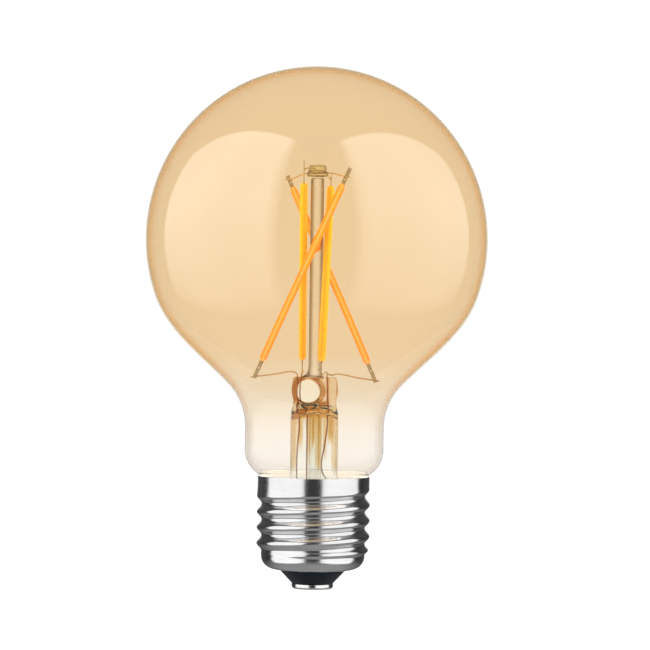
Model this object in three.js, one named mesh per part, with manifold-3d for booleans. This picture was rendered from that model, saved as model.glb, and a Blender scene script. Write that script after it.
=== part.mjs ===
// A tunable-white filament lamp: an amber blown-glass globe on a 27 mm screw cap, four LED filaments
// twisted round a glass post, and the driver with its radio board inside the cap.
// Millimetres, +Z up. The origin is the middle of the centre contact's underside.
// The front of the lamp faces -Y: the front warm filament crosses the post there.

import * as THREE from "three";
import { mergeVertices } from "three/addons/utils/BufferGeometryUtils.js";
import Module from "manifold-3d";

const wasm = await Module();
wasm.setup();

// ---------------------------------------------------------------- driving dimensions

// Glass envelope
const overallLength = 120.7; // contact underside to the top of the globe
const globeRadius = 39.6; // at its widest level
const crownHeight = 40.1; // widest level to the top of the globe
const glassWall = 0.9;
const neckRadius = 16.15;
const neckLength = 11.3; // cap rim to the start of the hollow curve under the globe
const throatFillet = 13.9; // radius of that hollow curve
const shoulderRadius = 6.8; // the round of the neck as it enters the cap
const mouthFillet = 1.0;
const mouthDepth = 4.7; // how far the glass mouth reaches below the cap's rim

// Screw cap
const capLength = 26.0; // contact underside to the rim of the shell
const crestRadius = 13.15;
const threadDepth = 1.1;
const threadPitch = 3.629; // seven threads to the inch
const skirtRadius = 13.0;
const skirtHeight = 2.9; // rim to the top thread's crest, on the +X side
const shellWall = 0.3;
const cementWall = 0.95; // cement between the glass mouth and the skirt, at the least
const shellEnd = 4.5; // height of the shell's turned-in end
const endBend = 3.1; // radius of its bend
const endLip = 1.0; // width of the flat lip inside the bend
const insulatorFlange = 1.2; // how far the insulator's flange overlaps the shell's end
const insulatorTop = 6.6;
const contactRadius = 4.85;
const contactThickness = 0.95;
const rivetRadius = 0.95;
const rivetWall = 0.4;

// Glass stem
const stemRise = 23.1; // cap rim to the top of the press
const tubeRadius = 5.55;
const tubeWall = 0.9;
const pressHalfWidth = 5.2;
const pressHalfDepth = 2.2;
const pressHeight = 8.1; // press top to the roof of the tube
const pressBlend = 5.0; // height over which the round tube becomes the flat press
const exhaustRadius = 1.75;
const exhaustWall = 0.7;
const exhaustReach = 8.7; // how far the sealed tip hangs below the cap's rim
const ventHalfWidth = 1.9; // the vent blown through the front of the press
const ventHalfHeight = 2.2;
const ventOffset = -1.25;
const postRadius = 1.55;
const buttonRadius = 2.05;
const buttonFlange = 2.5;
const buttonHeight = 2.8;

// Filaments: each stands off the post to one side and leans from a wide foot to a narrow head
const filamentLength = 44.7; // the coated length
const headReach = 5.85;
const footReach = 12.3;
const headStandOff = 0.625; // from the post's side to the coat, at the head
const coatWidth = 1.65;
const coatDepth = 0.7;
const stripWidth = 0.9;
const stripThickness = 0.35;
const tabThickness = 0.2;
const tabHole = 0.2;
const footRise = 3.6; // press top to the lower end of the coat
const headDrop = 1.6; // upper end of the coat to the underside of the button

// Wires
const leadRadius = 0.2;
const bridgeRadius = 0.17;
const bridgeSpacing = 0.55; // between the two bridge wires where they cross in the button

// Driver
const underRoom = 5.1; // clear height under the board, down to the insulator
const boardThickness = 1.0;
const boardEdgeGap = 1.1;

// Fits
const sealGap = 0.3; // between glass pieces that are fused on the lamp
const channelGap = 0.12; // round a wire that is sealed in glass
const coatGap = 0.05; // between a coat and its strip
const solderGap = 0.1; // between a component and the board it is soldered to
const mouthGap = 0.45; // between the glass mouth and the thread's inside

// ---------------------------------------------------------------- derived levels and radii

const globeLevel = overallLength - crownHeight;
const topCrestLevel = capLength - skirtHeight; // the top crest, on the +X side
const rootRadius = crestRadius - threadDepth;
const rootInside = rootRadius - shellWall;
const shellHole = rootRadius - endBend - endLip;
const insulatorNeck = shellHole - sealGap;
const mouthRadius = Math.min(rootInside, skirtRadius - shellWall - cementWall) - mouthGap;
const mouthBottom = capLength - mouthDepth;
const flareThickness = 0.9;
const flareBottom = mouthBottom - sealGap - flareThickness;
const pressTop = capLength + stemRise;
const roofLevel = pressTop - pressHeight;
const footLevel = pressTop + footRise;
const postFoot = 0.7; // the post spreads this much where it was fused to the press
const headOffset = postRadius + headStandOff + coatDepth + coatGap + stripThickness / 2;
const boardBottom = insulatorTop + underRoom;
const boardTop = boardBottom + boardThickness;
const topRoom = flareBottom - boardTop; // clear height over the board, up to the stem's flare
const boardRadius = rootInside - boardEdgeGap;

// ---------------------------------------------------------------- materials

function finish(hex, roughness, metalness, extra = {}) {
  return new THREE.MeshStandardMaterial({ color: hex, roughness, metalness, ...extra });
}
const clear = { transparent: true, opacity: 0.35 };
const amberGlass = finish(0xe8b060, 0.05, 0, clear);
const clearGlass = finish(0xe9f2ee, 0.05, 0, clear);
const nickel = finish(0xb9bbbd, 0.25, 1);
const blackGlass = finish(0x101418, 0.3, 0);
const leadWire = finish(0x9c6b4c, 0.35, 1);
const moly = finish(0x8f7d5a, 0.4, 1);
const stripSteel = finish(0x8e8672, 0.4, 1);
const warmCoat = finish(0xf79a1c, 0.5, 0);
const coolCoat = finish(0xe9c21a, 0.5, 0);
const cementGrey = finish(0xcfc8b8, 0.9, 0);
const boardGreen = finish(0x1d5b38, 0.5, 0);
const tinnedCan = finish(0xc4c6c8, 0.3, 1);
const sleeveBlack = finish(0x1b1b20, 0.45, 0);
const ferrite = finish(0x2b2a2c, 0.7, 0);
const copper = finish(0xb4672f, 0.3, 1);
const epoxyBlack = finish(0x17181a, 0.6, 0);
const resistorBlue = finish(0x5b86a8, 0.5, 0);

// ---------------------------------------------------------------- helpers

const lamp = new THREE.Group();

// Names a mesh and adds it to the lamp, or to a group inside the lamp.
function add(name, geometry, material, parent = lamp) {
  const mesh = new THREE.Mesh(geometry, material);
  mesh.name = name;
  parent.add(mesh);
  return mesh;
}

// Turns an outline of [radius, height] points round +Z. The outline starts and ends on the axis, or
// closes on itself, and is walked with the material on its left so that the faces point out.
function turned(outline, segments) {
  const points = outline.map(([r, z]) => new THREE.Vector2(r, z));
  if (THREE.ShapeUtils.area(points) < 0) points.reverse();
  return new THREE.LatheGeometry(points, segments).rotateX(Math.PI / 2);
}

// Closes an outline that doesn't touch the axis.
const closed = (outline) => [...outline, outline[0]];

// A geometry as a solid to cut with, and a solid back as a geometry.
function solid(geometry) {
  const bare = geometry.index ? geometry.toNonIndexed() : geometry.clone();
  bare.deleteAttribute("normal");
  bare.deleteAttribute("uv");
  const merged = mergeVertices(bare, 1e-4);
  return new wasm.Manifold(
    new wasm.Mesh({
      numProp: 3,
      vertProperties: merged.attributes.position.array,
      triVerts: new Uint32Array(merged.index.array),
    }),
  );
}
function geometryOf(manifold) {
  const mesh = manifold.getMesh();
  const geometry = new THREE.BufferGeometry();
  geometry.setAttribute("position", new THREE.BufferAttribute(mesh.vertProperties, 3));
  geometry.setIndex(new THREE.BufferAttribute(mesh.triVerts, 1));
  return geometry;
}

// A round section with the given number of sides.
function roundSection(radius, sides) {
  const corners = [];
  for (let i = 0; i < sides; i += 1) {
    const angle = (2 * Math.PI * i) / sides;
    corners.push(new THREE.Vector2(radius * Math.cos(angle), radius * Math.sin(angle)));
  }
  return new THREE.Shape(corners);
}

// A wire of round section along a smooth curve through the points.
function wire(points, radius, steps = 24, sides = 6) {
  const path = new THREE.CatmullRomCurve3(points, false, "centripetal");
  return new THREE.ExtrudeGeometry(roundSection(radius, sides), { steps, extrudePath: path });
}
const at = (x, y, z) => new THREE.Vector3(x, y, z);

// A cylinder that stands on the given height.
function post(radius, height, x, y, base, sides = 24) {
  const geometry = new THREE.CylinderGeometry(radius, radius, height, sides);
  return geometry.rotateX(Math.PI / 2).translate(x, y, base + height / 2);
}

// A box that stands on the given height, centred on x and y.
function block(width, depth, height, x, y, base) {
  return new THREE.BoxGeometry(width, depth, height).translate(x, y, base + height / 2);
}

// Skins a stack of closed rings, each a list of points in the same order, and closes both ends.
function skinned(rings) {
  const around = rings[0].length;
  const positions = rings.flat().flatMap((p) => [p.x, p.y, p.z]);
  const index = [];
  const ringAt = (i, j) => i * around + (j % around);
  for (let i = 0; i < rings.length - 1; i += 1) {
    for (let j = 0; j < around; j += 1) {
      index.push(ringAt(i, j), ringAt(i, j + 1), ringAt(i + 1, j + 1));
      index.push(ringAt(i, j), ringAt(i + 1, j + 1), ringAt(i + 1, j));
    }
  }
  const last = rings.length - 1;
  for (const [ring, flip] of [[0, true], [last, false]]) {
    const middle = positions.length / 3;
    const centre = rings[ring].reduce((sum, p) => sum.add(p), at(0, 0, 0)).divideScalar(around);
    positions.push(centre.x, centre.y, centre.z);
    for (let j = 0; j < around; j += 1) {
      const [a, b] = [ringAt(ring, j), ringAt(ring, j + 1)];
      index.push(...(flip ? [middle, b, a] : [middle, a, b]));
    }
  }
  const geometry = new THREE.BufferGeometry();
  geometry.setAttribute("position", new THREE.Float32BufferAttribute(positions, 3));
  geometry.setIndex(index);
  return geometry;
}
const smooth = (t) => THREE.MathUtils.smoothstep(t, 0, 1);

// ---------------------------------------------------------------- glass envelope

// The outline of the glass from its mouth inside the cap up to the crown. The shoulder passes just
// inside the cap's rim and over it, and a small fillet leads from it down into the mouth.
const shoulderCentre = neckRadius - shoulderRadius;
const rimReach = skirtRadius - shellWall - sealGap - shoulderCentre;
const shoulderLevel = capLength + Math.sqrt(shoulderRadius ** 2 - rimReach ** 2);
const filletAcross = mouthRadius + mouthFillet - shoulderCentre;
const filletReach = shoulderRadius + mouthFillet;
const filletLevel = shoulderLevel - Math.sqrt(filletReach ** 2 - filletAcross ** 2);

function envelopeOutline() {
  const filletAngle = Math.acos(filletAcross / filletReach);

  const flankAngle = THREE.MathUtils.degToRad(20); // below the widest level, where the flank starts
  const flankStart = [globeRadius * Math.cos(flankAngle), globeLevel - globeRadius * Math.sin(flankAngle)];

  // The hollow curve turns through 45 degrees, and takes at most half of the flank's height.
  const throatAngle = Math.PI / 4;
  const throatLevel = capLength + neckLength;
  const throatRoom = (0.5 * (flankStart[1] - throatLevel)) / Math.sin(throatAngle);
  const throatRadius = Math.min(throatFillet, throatRoom);
  const throatCentre = neckRadius + throatRadius;
  const throatTop = throatLevel + throatRadius * Math.sin(throatAngle);
  const throatEnd = throatCentre - throatRadius * Math.cos(throatAngle);
  const handle = 0.33 * Math.hypot(flankStart[0] - throatEnd, flankStart[1] - throatTop);

  const path = new THREE.Path();
  path.moveTo(mouthRadius, mouthBottom);
  path.lineTo(mouthRadius, filletLevel);
  path.absarc(mouthRadius + mouthFillet, filletLevel, mouthFillet, Math.PI, Math.PI - filletAngle, true);
  path.absarc(shoulderCentre, shoulderLevel, shoulderRadius, -filletAngle, 0, false);
  path.lineTo(neckRadius, throatLevel);
  path.absarc(throatCentre, throatLevel, throatRadius, Math.PI, Math.PI - throatAngle, true);
  path.bezierCurveTo(
    throatEnd + handle * Math.cos(throatAngle),
    throatTop + handle * Math.sin(throatAngle),
    flankStart[0] - handle * Math.sin(flankAngle),
    flankStart[1] - handle * Math.cos(flankAngle),
    ...flankStart,
  );
  path.absarc(0, globeLevel, globeRadius, -flankAngle, 0, false);
  path.absellipse(0, globeLevel, globeRadius, crownHeight, 0, Math.PI / 2, false, 0);

  // Each kind of curve gets as many steps as its bend needs. A straight line needs one.
  const points = [[mouthRadius, mouthBottom]];
  const bends = { EllipseCurve: 0.175, CubicBezierCurve: 0.15 };
  for (const curve of path.curves) {
    const turn = bends[curve.type] ? curve.getTangent(0).angleTo(curve.getTangent(1)) : 0;
    const steps = Math.max(1, Math.round(turn / bends[curve.type]) || 1);
    for (let k = 1; k <= steps; k += 1) {
      const p = curve.getPoint(k / steps);
      if (p.distanceTo(new THREE.Vector2(...points[points.length - 1])) > 0.01) points.push([p.x, p.y]);
    }
  }
  points[points.length - 1][0] = 0;
  return points;
}

// The same outline moved inwards by the wall, square to the line between each point's neighbours.
function inwards(outline, wall) {
  return outline.map(([r, z], i) => {
    if (i === 0) return [r - wall, z];
    if (i === outline.length - 1) return [0, z - wall];
    const [before, after] = [outline[i - 1], outline[i + 1]];
    const along = Math.hypot(after[0] - before[0], after[1] - before[1]);
    return [r - (wall * (after[1] - before[1])) / along, z + (wall * (after[0] - before[0])) / along];
  });
}
const glassOutside = envelopeOutline();
const glassInside = inwards(glassOutside, glassWall).reverse();
add("globe_envelope", turned([...glassInside, ...glassOutside], 40), amberGlass);

// ---------------------------------------------------------------- screw cap

// The shell's meridian as [base radius, height, how much thread it carries], from the rim down.
function shellMeridian() {
  const rows = [[skirtRadius, capLength, 0], [skirtRadius, capLength - skirtHeight / 3, 0]];
  const threadEnd = shellEnd + endBend;
  const rowsPerPitch = 5;
  const threadTop = topCrestLevel + threadPitch / 4; // the top crest's height on the +Y side
  const count = Math.round(((threadTop - threadEnd) / threadPitch) * rowsPerPitch);
  for (let i = 0; i <= count; i += 1) {
    const z = THREE.MathUtils.lerp(threadTop, threadEnd, i / count);
    rows.push([THREE.MathUtils.lerp(skirtRadius, crestRadius, smooth(i / 4)), z, 1]);
  }
  // Below the thread the shell turns in to the insulator.
  const bendSteps = 4;
  for (let i = 1; i <= bendSteps; i += 1) {
    const angle = ((Math.PI / 2) * i) / bendSteps;
    const centre = rootRadius - endBend;
    const r = centre + endBend * Math.cos(angle);
    rows.push([i === bendSteps ? shellHole : r, threadEnd - endBend * Math.sin(angle), 0]);
  }
  return rows;
}

// How deep the thread is cut at an angle and height, 0 on a crest and 1 in a root. The angle runs
// from the +Y side back round to it, because the top root fades in from there.
const threadStart = Math.PI / 2;
function threadCut(angle, z) {
  const below = (topCrestLevel + (threadPitch * angle) / (2 * Math.PI) - z) / threadPitch;
  if (below < 0) return 0;
  const wave = (1 - Math.cos(2 * Math.PI * below)) / 2;
  const fadeIn = below < 1 ? smooth((threadStart - angle) / (Math.PI / 3)) : 1;
  return wave * fadeIn;
}
function screwShell(columns) {
  const rows = shellMeridian();
  const threadEnd = shellEnd + endBend;
  const surface = (inset) =>
    rows.map(([base, z, threaded]) => {
      const ring = [];
      // The last turn runs out into the end's bend.
      const runOut = smooth((z - threadEnd) / (0.5 * threadPitch));
      for (let j = 0; j < columns; j += 1) {
        const angle = threadStart - (2 * Math.PI * j) / columns;
        const cut = threaded ? 1 - runOut * (1 - threadCut(angle, z)) : 0;
        const r = base - threadDepth * cut - inset;
        ring.push(at(r * Math.cos(angle), r * Math.sin(angle), z));
      }
      return ring;
    });
  const outside = surface(0);
  const inside = surface(shellWall).reverse();
  // The turned-in end and the rim keep the wall's thickness upwards and inwards.
  const lift = (ring, share) => ring.map((p) => at(p.x, p.y, p.z + shellWall * share));
  const bendRows = 4;
  const insideLifted = inside.map((ring, i) => (i < bendRows ? lift(ring, 1 - i / bendRows) : ring));
  insideLifted[0] = lift(outside[outside.length - 1], 1);
  const rings = [...outside, ...insideLifted];
  const around = columns;
  const positions = rings.flat().flatMap((p) => [p.x, p.y, p.z]);
  const index = [];
  for (let i = 0; i < rings.length; i += 1) {
    const next = (i + 1) % rings.length;
    for (let j = 0; j < around; j += 1) {
      const k = (j + 1) % around;
      index.push(i * around + j, i * around + k, next * around + k);
      index.push(i * around + j, next * around + k, next * around + j);
    }
  }
  const geometry = new THREE.BufferGeometry();
  geometry.setAttribute("position", new THREE.Float32BufferAttribute(positions, 3));
  geometry.setIndex(index);
  return geometry;
}
add("screw_shell", screwShell(28), nickel);

// The insulator's cone hangs below the shell, and its flange grips the shell's turned-in end.
const insulatorBottom = contactThickness + sealGap;
const rivetHole = rivetRadius + sealGap;
const flangeUnder = shellEnd + shellWall + sealGap;
add(
  "cap_insulator",
  turned(
    closed([
      [rivetHole, insulatorBottom],
      [contactRadius, insulatorBottom],
      [insulatorNeck, shellEnd - sealGap],
      [insulatorNeck, flangeUnder],
      [shellHole + insulatorFlange, flangeUnder],
      [shellHole + insulatorFlange, insulatorTop - 0.4],
      [shellHole + insulatorFlange - 0.4, insulatorTop],
      [rivetHole, insulatorTop],
    ]),
    32,
  ),
  blackGlass,
);

// The contact is a flat plate with a hollow rivet that passes up through the insulator.
const rivetTop = insulatorTop + 0.4;
const contactEdge = 0.3;
add(
  "centre_contact",
  turned(
    [
      [0, 0],
      [contactRadius - contactEdge, 0],
      [contactRadius - contactEdge / 3, contactEdge],
      [contactRadius, contactThickness],
      [rivetRadius, contactThickness],
      [rivetRadius, rivetTop],
      [rivetRadius - rivetWall, rivetTop],
      [rivetRadius - rivetWall, contactThickness - 0.4],
      [0, contactThickness - 0.4],
    ],
    28,
  ),
  nickel,
);

// The cement holds the glass mouth in the skirt, and its top follows the glass.
const cementGap = 0.15;
const cementBottom = topCrestLevel + threadPitch / 4 + 0.1;
const cementRadius = skirtRadius - shellWall - cementGap;
const cementRing = closed([
  [mouthRadius + cementGap, cementBottom],
  [cementRadius, cementBottom],
  [cementRadius, capLength - 0.8],
  [mouthRadius + cementGap, capLength - 0.8],
]);
const glassAndGap = turned([[0, mouthBottom], ...inwards(glassOutside, -cementGap)], 32);
add("basing_cement", geometryOf(solid(turned(cementRing, 32)).subtract(solid(glassAndGap))), cementGrey);

// ---------------------------------------------------------------- filaments

// Each row is one filament: its turn round the post, how far its foot was set in and dropped, how
// long each end tab was cut, and how far past the coat each wire is welded.
const filamentRows = [
  {
    name: "warm_front",
    turn: 0,
    footInset: 0.5,
    footDrop: 0.1,
    headTab: 4.1,
    footTab: 4.3,
    headWeld: 2.0,
    footWeld: 3.9,
    footSide: -1,
    coat: warmCoat,
  },
  {
    name: "cool_left",
    turn: -90,
    footInset: 0,
    footDrop: 0,
    headTab: 5.2,
    footTab: 3.5,
    headWeld: 3.3,
    footWeld: 3.0,
    footSide: -1,
    coat: coolCoat,
  },
  {
    name: "warm_rear",
    turn: 180,
    footInset: 0.5,
    footDrop: 0.6,
    headTab: 2.9,
    footTab: 4.6,
    headWeld: 2.0,
    footWeld: 4.1,
    footSide: -1,
    coat: warmCoat,
  },
  {
    name: "cool_right",
    turn: 90,
    footInset: 1.6,
    footDrop: 0,
    headTab: 2.6,
    footTab: 3.6,
    headWeld: 1.9,
    footWeld: 3.1,
    footSide: 1,
    coat: coolCoat,
  },
];

// A filament's ends and axes: up its length, out from the post, and across its width.
function filamentFrame(row) {
  const spin = new THREE.Matrix4().makeRotationZ(THREE.MathUtils.degToRad(row.turn));
  const run = headReach + footReach;
  const foot = at(-footReach, row.footInset - headOffset, footLevel - row.footDrop);
  const rise = Math.sqrt(filamentLength ** 2 - run ** 2 - row.footInset ** 2);
  const head = at(headReach, -headOffset, foot.z + rise);
  foot.applyMatrix4(spin);
  head.applyMatrix4(spin);
  const up = head.clone().sub(foot).normalize();
  const out = at(0, -1, 0).applyMatrix4(spin);
  out.addScaledVector(up, -out.dot(up)).normalize();
  const across = new THREE.Vector3().crossVectors(out, up).normalize();
  return { row, foot, head, up, out, across };
}

// The strip with its two thinner end tabs, drawn in the plane of its thickness and length, and
// extruded across its width. Each tab has a locating hole.
function stripGeometry({ headTab, footTab }) {
  const half = stripThickness / 2;
  const thin = tabThickness / 2;
  const top = filamentLength;
  const outline = new THREE.Shape(
    [
      [thin, -footTab],
      [thin, 0],
      [half, 0],
      [half, top],
      [thin, top],
      [thin, top + headTab],
      [-thin, top + headTab],
      [-thin, top],
      [-half, top],
      [-half, 0],
      [-thin, 0],
      [-thin, -footTab],
    ].map(([x, y]) => new THREE.Vector2(x, y)),
  );
  const strip = new THREE.ExtrudeGeometry(outline, { depth: stripWidth, bevelEnabled: false });
  strip.translate(0, 0, -stripWidth / 2);
  let cut = solid(strip);
  for (const level of [-1.7, top + 1.15]) {
    const hole = new THREE.CylinderGeometry(tabHole, tabHole, 1, 8).rotateZ(Math.PI / 2);
    cut = cut.subtract(solid(hole.translate(0, level, 0)));
  }
  return geometryOf(cut);
}

// One half of the phosphor coat: a half-oval section with rounded ends, on the outer or inner face.
const coatRound = 1.1; // length of the rounding at each end
function coatGeometry(side) {
  const base = stripThickness / 2 + coatGap;
  const ends = [0, 0.15, 0.5, coatRound];
  const levels = [...ends, ...ends.map((e) => filamentLength - e).reverse()];
  const arcSteps = 8;
  const rings = levels.map((level) => {
    const fromEnd = Math.min(level, filamentLength - level, coatRound);
    const fullness = Math.sqrt(1 - 0.75 * (1 - fromEnd / coatRound) ** 2);
    const ring = [];
    for (let i = 0; i <= arcSteps; i += 1) {
      const angle = (Math.PI * i) / arcSteps;
      const x = side * (base + coatDepth * fullness * Math.sin(angle));
      ring.push(at(x, level, side * (coatWidth / 2) * fullness * Math.cos(angle)));
    }
    return ring;
  });
  return skinned(rings);
}

const frames = {};
for (const row of filamentRows) {
  const frame = filamentFrame(row);
  frames[row.name] = frame;
  const holder = new THREE.Group();
  holder.quaternion.setFromRotationMatrix(new THREE.Matrix4().makeBasis(frame.out, frame.up, frame.across));
  holder.position.copy(frame.foot);
  lamp.add(holder);
  add(`${row.name}_filament_strip`, stripGeometry(row), stripSteel, holder);
  add(`${row.name}_filament_outer_coat`, coatGeometry(1), row.coat, holder);
  add(`${row.name}_filament_inner_coat`, coatGeometry(-1), row.coat, holder);
}

// ---------------------------------------------------------------- button, post and bridge wires

const headLevel = frames.cool_left.head.z;
const buttonBottom = headLevel + headDrop;
const flangeTop = buttonBottom + 0.45 * buttonHeight;
const buttonTop = buttonBottom + buttonHeight;

// Where a wire is welded to a tab: past the coat's end, on the tab's outer (1) or inner (-1) face.
// The wire runs level along the tab's face there, and its cut end stands a little past the weld.
const weldGap = 0.1;
function weldPoints(frame, end, side, radius) {
  const way = end === "head" ? 1 : -1;
  const start = end === "head" ? frame.head : frame.foot;
  const past = end === "head" ? frame.row.headWeld : frame.row.footWeld;
  const level = at(frame.up.x, frame.up.y, 0).normalize().multiplyScalar(way);
  const weld = start
    .clone()
    .addScaledVector(frame.up, way * past)
    .addScaledVector(frame.out, side * (tabThickness / 2 + radius + weldGap));
  const tip = weld.clone().addScaledVector(level, 0.9).add(at(0, 0, -0.2));
  const near = weld.clone().addScaledVector(level, -0.9).add(at(0, 0, 0.1));
  return [tip, weld, near];
}

// A bridge wire joins the heads of two opposite filaments through the button. It passes the button's
// middle at the given level, and its ends there differ in height by the tilt.
function bridgePoints(first, second, level, tilt) {
  const half = (frame, rise) => {
    const [tip, weld, near] = weldPoints(frame, "head", -1, bridgeRadius);
    const plan = at(near.x, near.y, 0).normalize();
    const entry = at(plan.x * buttonFlange, plan.y * buttonFlange, level + rise);
    const arch = near.clone().lerp(entry, 0.45).add(at(0, 0, 0.15));
    return [tip, weld, near, arch, entry];
  };
  return [...half(first, tilt / 2), at(0, 0, level), ...half(second, -tilt / 2).reverse()];
}
const warmBridge = bridgePoints(frames.warm_front, frames.warm_rear, buttonBottom + 0.95, 0);
const coolLevel = buttonBottom + 0.95 + bridgeSpacing;
const coolBridge = bridgePoints(frames.cool_left, frames.cool_right, coolLevel, 1.0);
const bridgeSteps = 30;
add("warm_bridge_wire", wire(warmBridge, bridgeRadius, bridgeSteps), moly);
add("cool_bridge_wire", wire(coolBridge, bridgeRadius, bridgeSteps), moly);

// The button is a flanged bead of glass with the bridge wires sealed across it.
const buttonOutline = [
  [0, buttonBottom],
  [buttonFlange - 0.7, buttonBottom],
  [buttonFlange - 0.15, buttonBottom + 0.3],
  [buttonFlange, buttonBottom + 0.7],
  [buttonFlange - 0.1, flangeTop - 0.1],
  [buttonRadius, flangeTop + 0.25],
  [buttonRadius, buttonTop - 0.5],
  [buttonRadius - 0.15, buttonTop - 0.15],
  [buttonRadius - 0.5, buttonTop],
  [0, buttonTop],
];
let button = solid(turned(buttonOutline, 20));
for (const route of [warmBridge, coolBridge]) {
  button = button.subtract(solid(wire(route, bridgeRadius + channelGap, bridgeSteps)));
}
add("post_button", geometryOf(button), clearGlass);

const postBase = pressTop + sealGap;
const postTop = buttonBottom - sealGap;
add(
  "centre_post",
  turned(
    [
      [0, postBase],
      [postRadius + postFoot, postBase],
      [postRadius + postFoot * 0.4, postBase + 0.5],
      [postRadius, postBase + 1.5],
      [postRadius, postTop - 0.3],
      [postRadius - 0.3, postTop],
      [0, postTop],
    ],
    20,
  ),
  clearGlass,
);

// ---------------------------------------------------------------- lead wires

// Each lead is welded to a tab, hooks over the press, is sealed in it, and runs down through the
// stem in front of the exhaust tube to the board.
const leadEnd = boardBottom - 0.8;
const annulus = (exhaustRadius + tubeRadius - tubeWall) / 2; // midway between exhaust tube and stem
const warmSeal = -(pressHalfWidth - 1.15);
const coolSeal = -(postRadius + postFoot + 0.6);
const commonSeal = postRadius + postFoot + 0.5;

const boardEdge = boardRadius - 1.4;
const boardHoles = {
  warm: at(-annulus - 1.0, 0.9, 0),
  cool: at(-1.2, -boardEdge, 0),
  common: at(boardEdge, -1.6, 0),
  live: at(0, annulus + 1.0, 0),
  neutral: at(1.8, boardEdge, 0),
};
const throughBoard = (hole) => [at(hole.x, hole.y, boardTop + 2.5), at(hole.x, hole.y, leadEnd)];

const warmLead = [
  ...weldPoints(frames.warm_front, "foot", frames.warm_front.row.footSide, leadRadius),
  at(-8.3, -1.5, pressTop + 0.7),
  at(-5.7, -0.6, pressTop + 1.15),
  at(warmSeal - 0.25, -0.1, pressTop + 0.75),
  at(warmSeal, 0, pressTop - 1),
  at(warmSeal - 0.05, 0, roofLevel + 0.45 * pressHeight),
  at(warmSeal + 0.35, -0.2, roofLevel),
  at(warmSeal + 0.6, -0.7, roofLevel - 4),
  at(warmSeal + 0.3, -0.6, roofLevel - 7),
  at(-annulus - 0.75, -0.5, roofLevel - 11),
  at(-annulus - 0.8, 0, roofLevel - 15),
  ...throughBoard(boardHoles.warm),
];
const coolLead = [
  ...weldPoints(frames.cool_left, "foot", frames.cool_left.row.footSide, leadRadius),
  at(-3.0, 8.6, pressTop + 1.0),
  at(-2.9, 3.8, pressTop + 1.5),
  at(coolSeal - 0.05, 0.9, pressTop + 1.0),
  at(coolSeal, 0.7, pressTop - 1),
  at(coolSeal + 0.05, 1.1, roofLevel + 0.6 * pressHeight),
  at(coolSeal + 0.3, 0.6, roofLevel + 0.3 * pressHeight),
  at(-1.9, -1.3, roofLevel),
  at(-1.65, -annulus + 0.6, roofLevel - 4),
  at(-1.6, -annulus + 0.2, roofLevel - 10),
  at(-1.6, -annulus, roofLevel - 16),
  ...throughBoard(boardHoles.cool),
];
const commonLead = [
  ...weldPoints(frames.warm_rear, "foot", frames.warm_rear.row.footSide, leadRadius),
  at(9.6, 1.8, pressTop - 0.1),
  at(5.4, 0.9, pressTop + 0.7),
  at(commonSeal + 1.1, 0.4, pressTop + 0.45),
  at(commonSeal + 0.15, 0.1, pressTop + 0.6),
  at(commonSeal, 0, pressTop - 1),
  at(commonSeal + 0.1, 0, roofLevel + 0.5 * pressHeight),
  at(commonSeal + 0.3, -0.6, roofLevel),
  at(commonSeal + 0.1, -1.4, roofLevel - 4),
  at(2.3, -annulus + 0.6, roofLevel - 8),
  at(1.7, -annulus + 0.1, roofLevel - 12),
  at(2.2, -annulus + 0.5, roofLevel - 15),
  ...throughBoard(boardHoles.common),
];
const leadRoutes = [
  ["lead_wire_warm", warmLead],
  ["lead_wire_cool", coolLead],
  ["lead_wire_common", commonLead],
];
const leadSteps = 48;
for (const [name, route] of leadRoutes) add(name, wire(route, leadRadius, leadSteps), leadWire);

// The cool filaments' return jumps from the right-hand foot to the common lead.
const coolReturn = [
  ...weldPoints(frames.cool_right, "foot", frames.cool_right.row.footSide, leadRadius),
  at(2.1, -8.5, pressTop + 0.85),
  at(2.5, -4.0, pressTop + 1.2),
  at(commonSeal + 0.1, -0.6, pressTop + 0.9),
];
add("cool_return_wire", wire(coolReturn, leadRadius, 20), moly);

// ---------------------------------------------------------------- stem

// A ring of the stem at one height: an oval that is round below the press and flat-sided in it.
const stemAround = 28;
function stemRing(level, halfWidth, halfDepth, squareness) {
  const ring = [];
  const power = 1 / (1 + squareness);
  for (let j = 0; j < stemAround; j += 1) {
    const angle = (2 * Math.PI * j) / stemAround;
    const [c, s] = [Math.cos(angle), Math.sin(angle)];
    const x = halfWidth * Math.sign(c) * Math.abs(c) ** power;
    const y = halfDepth * Math.sign(s) * Math.abs(s) ** power;
    ring.push(at(x, y, level));
  }
  return ring;
}

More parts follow.
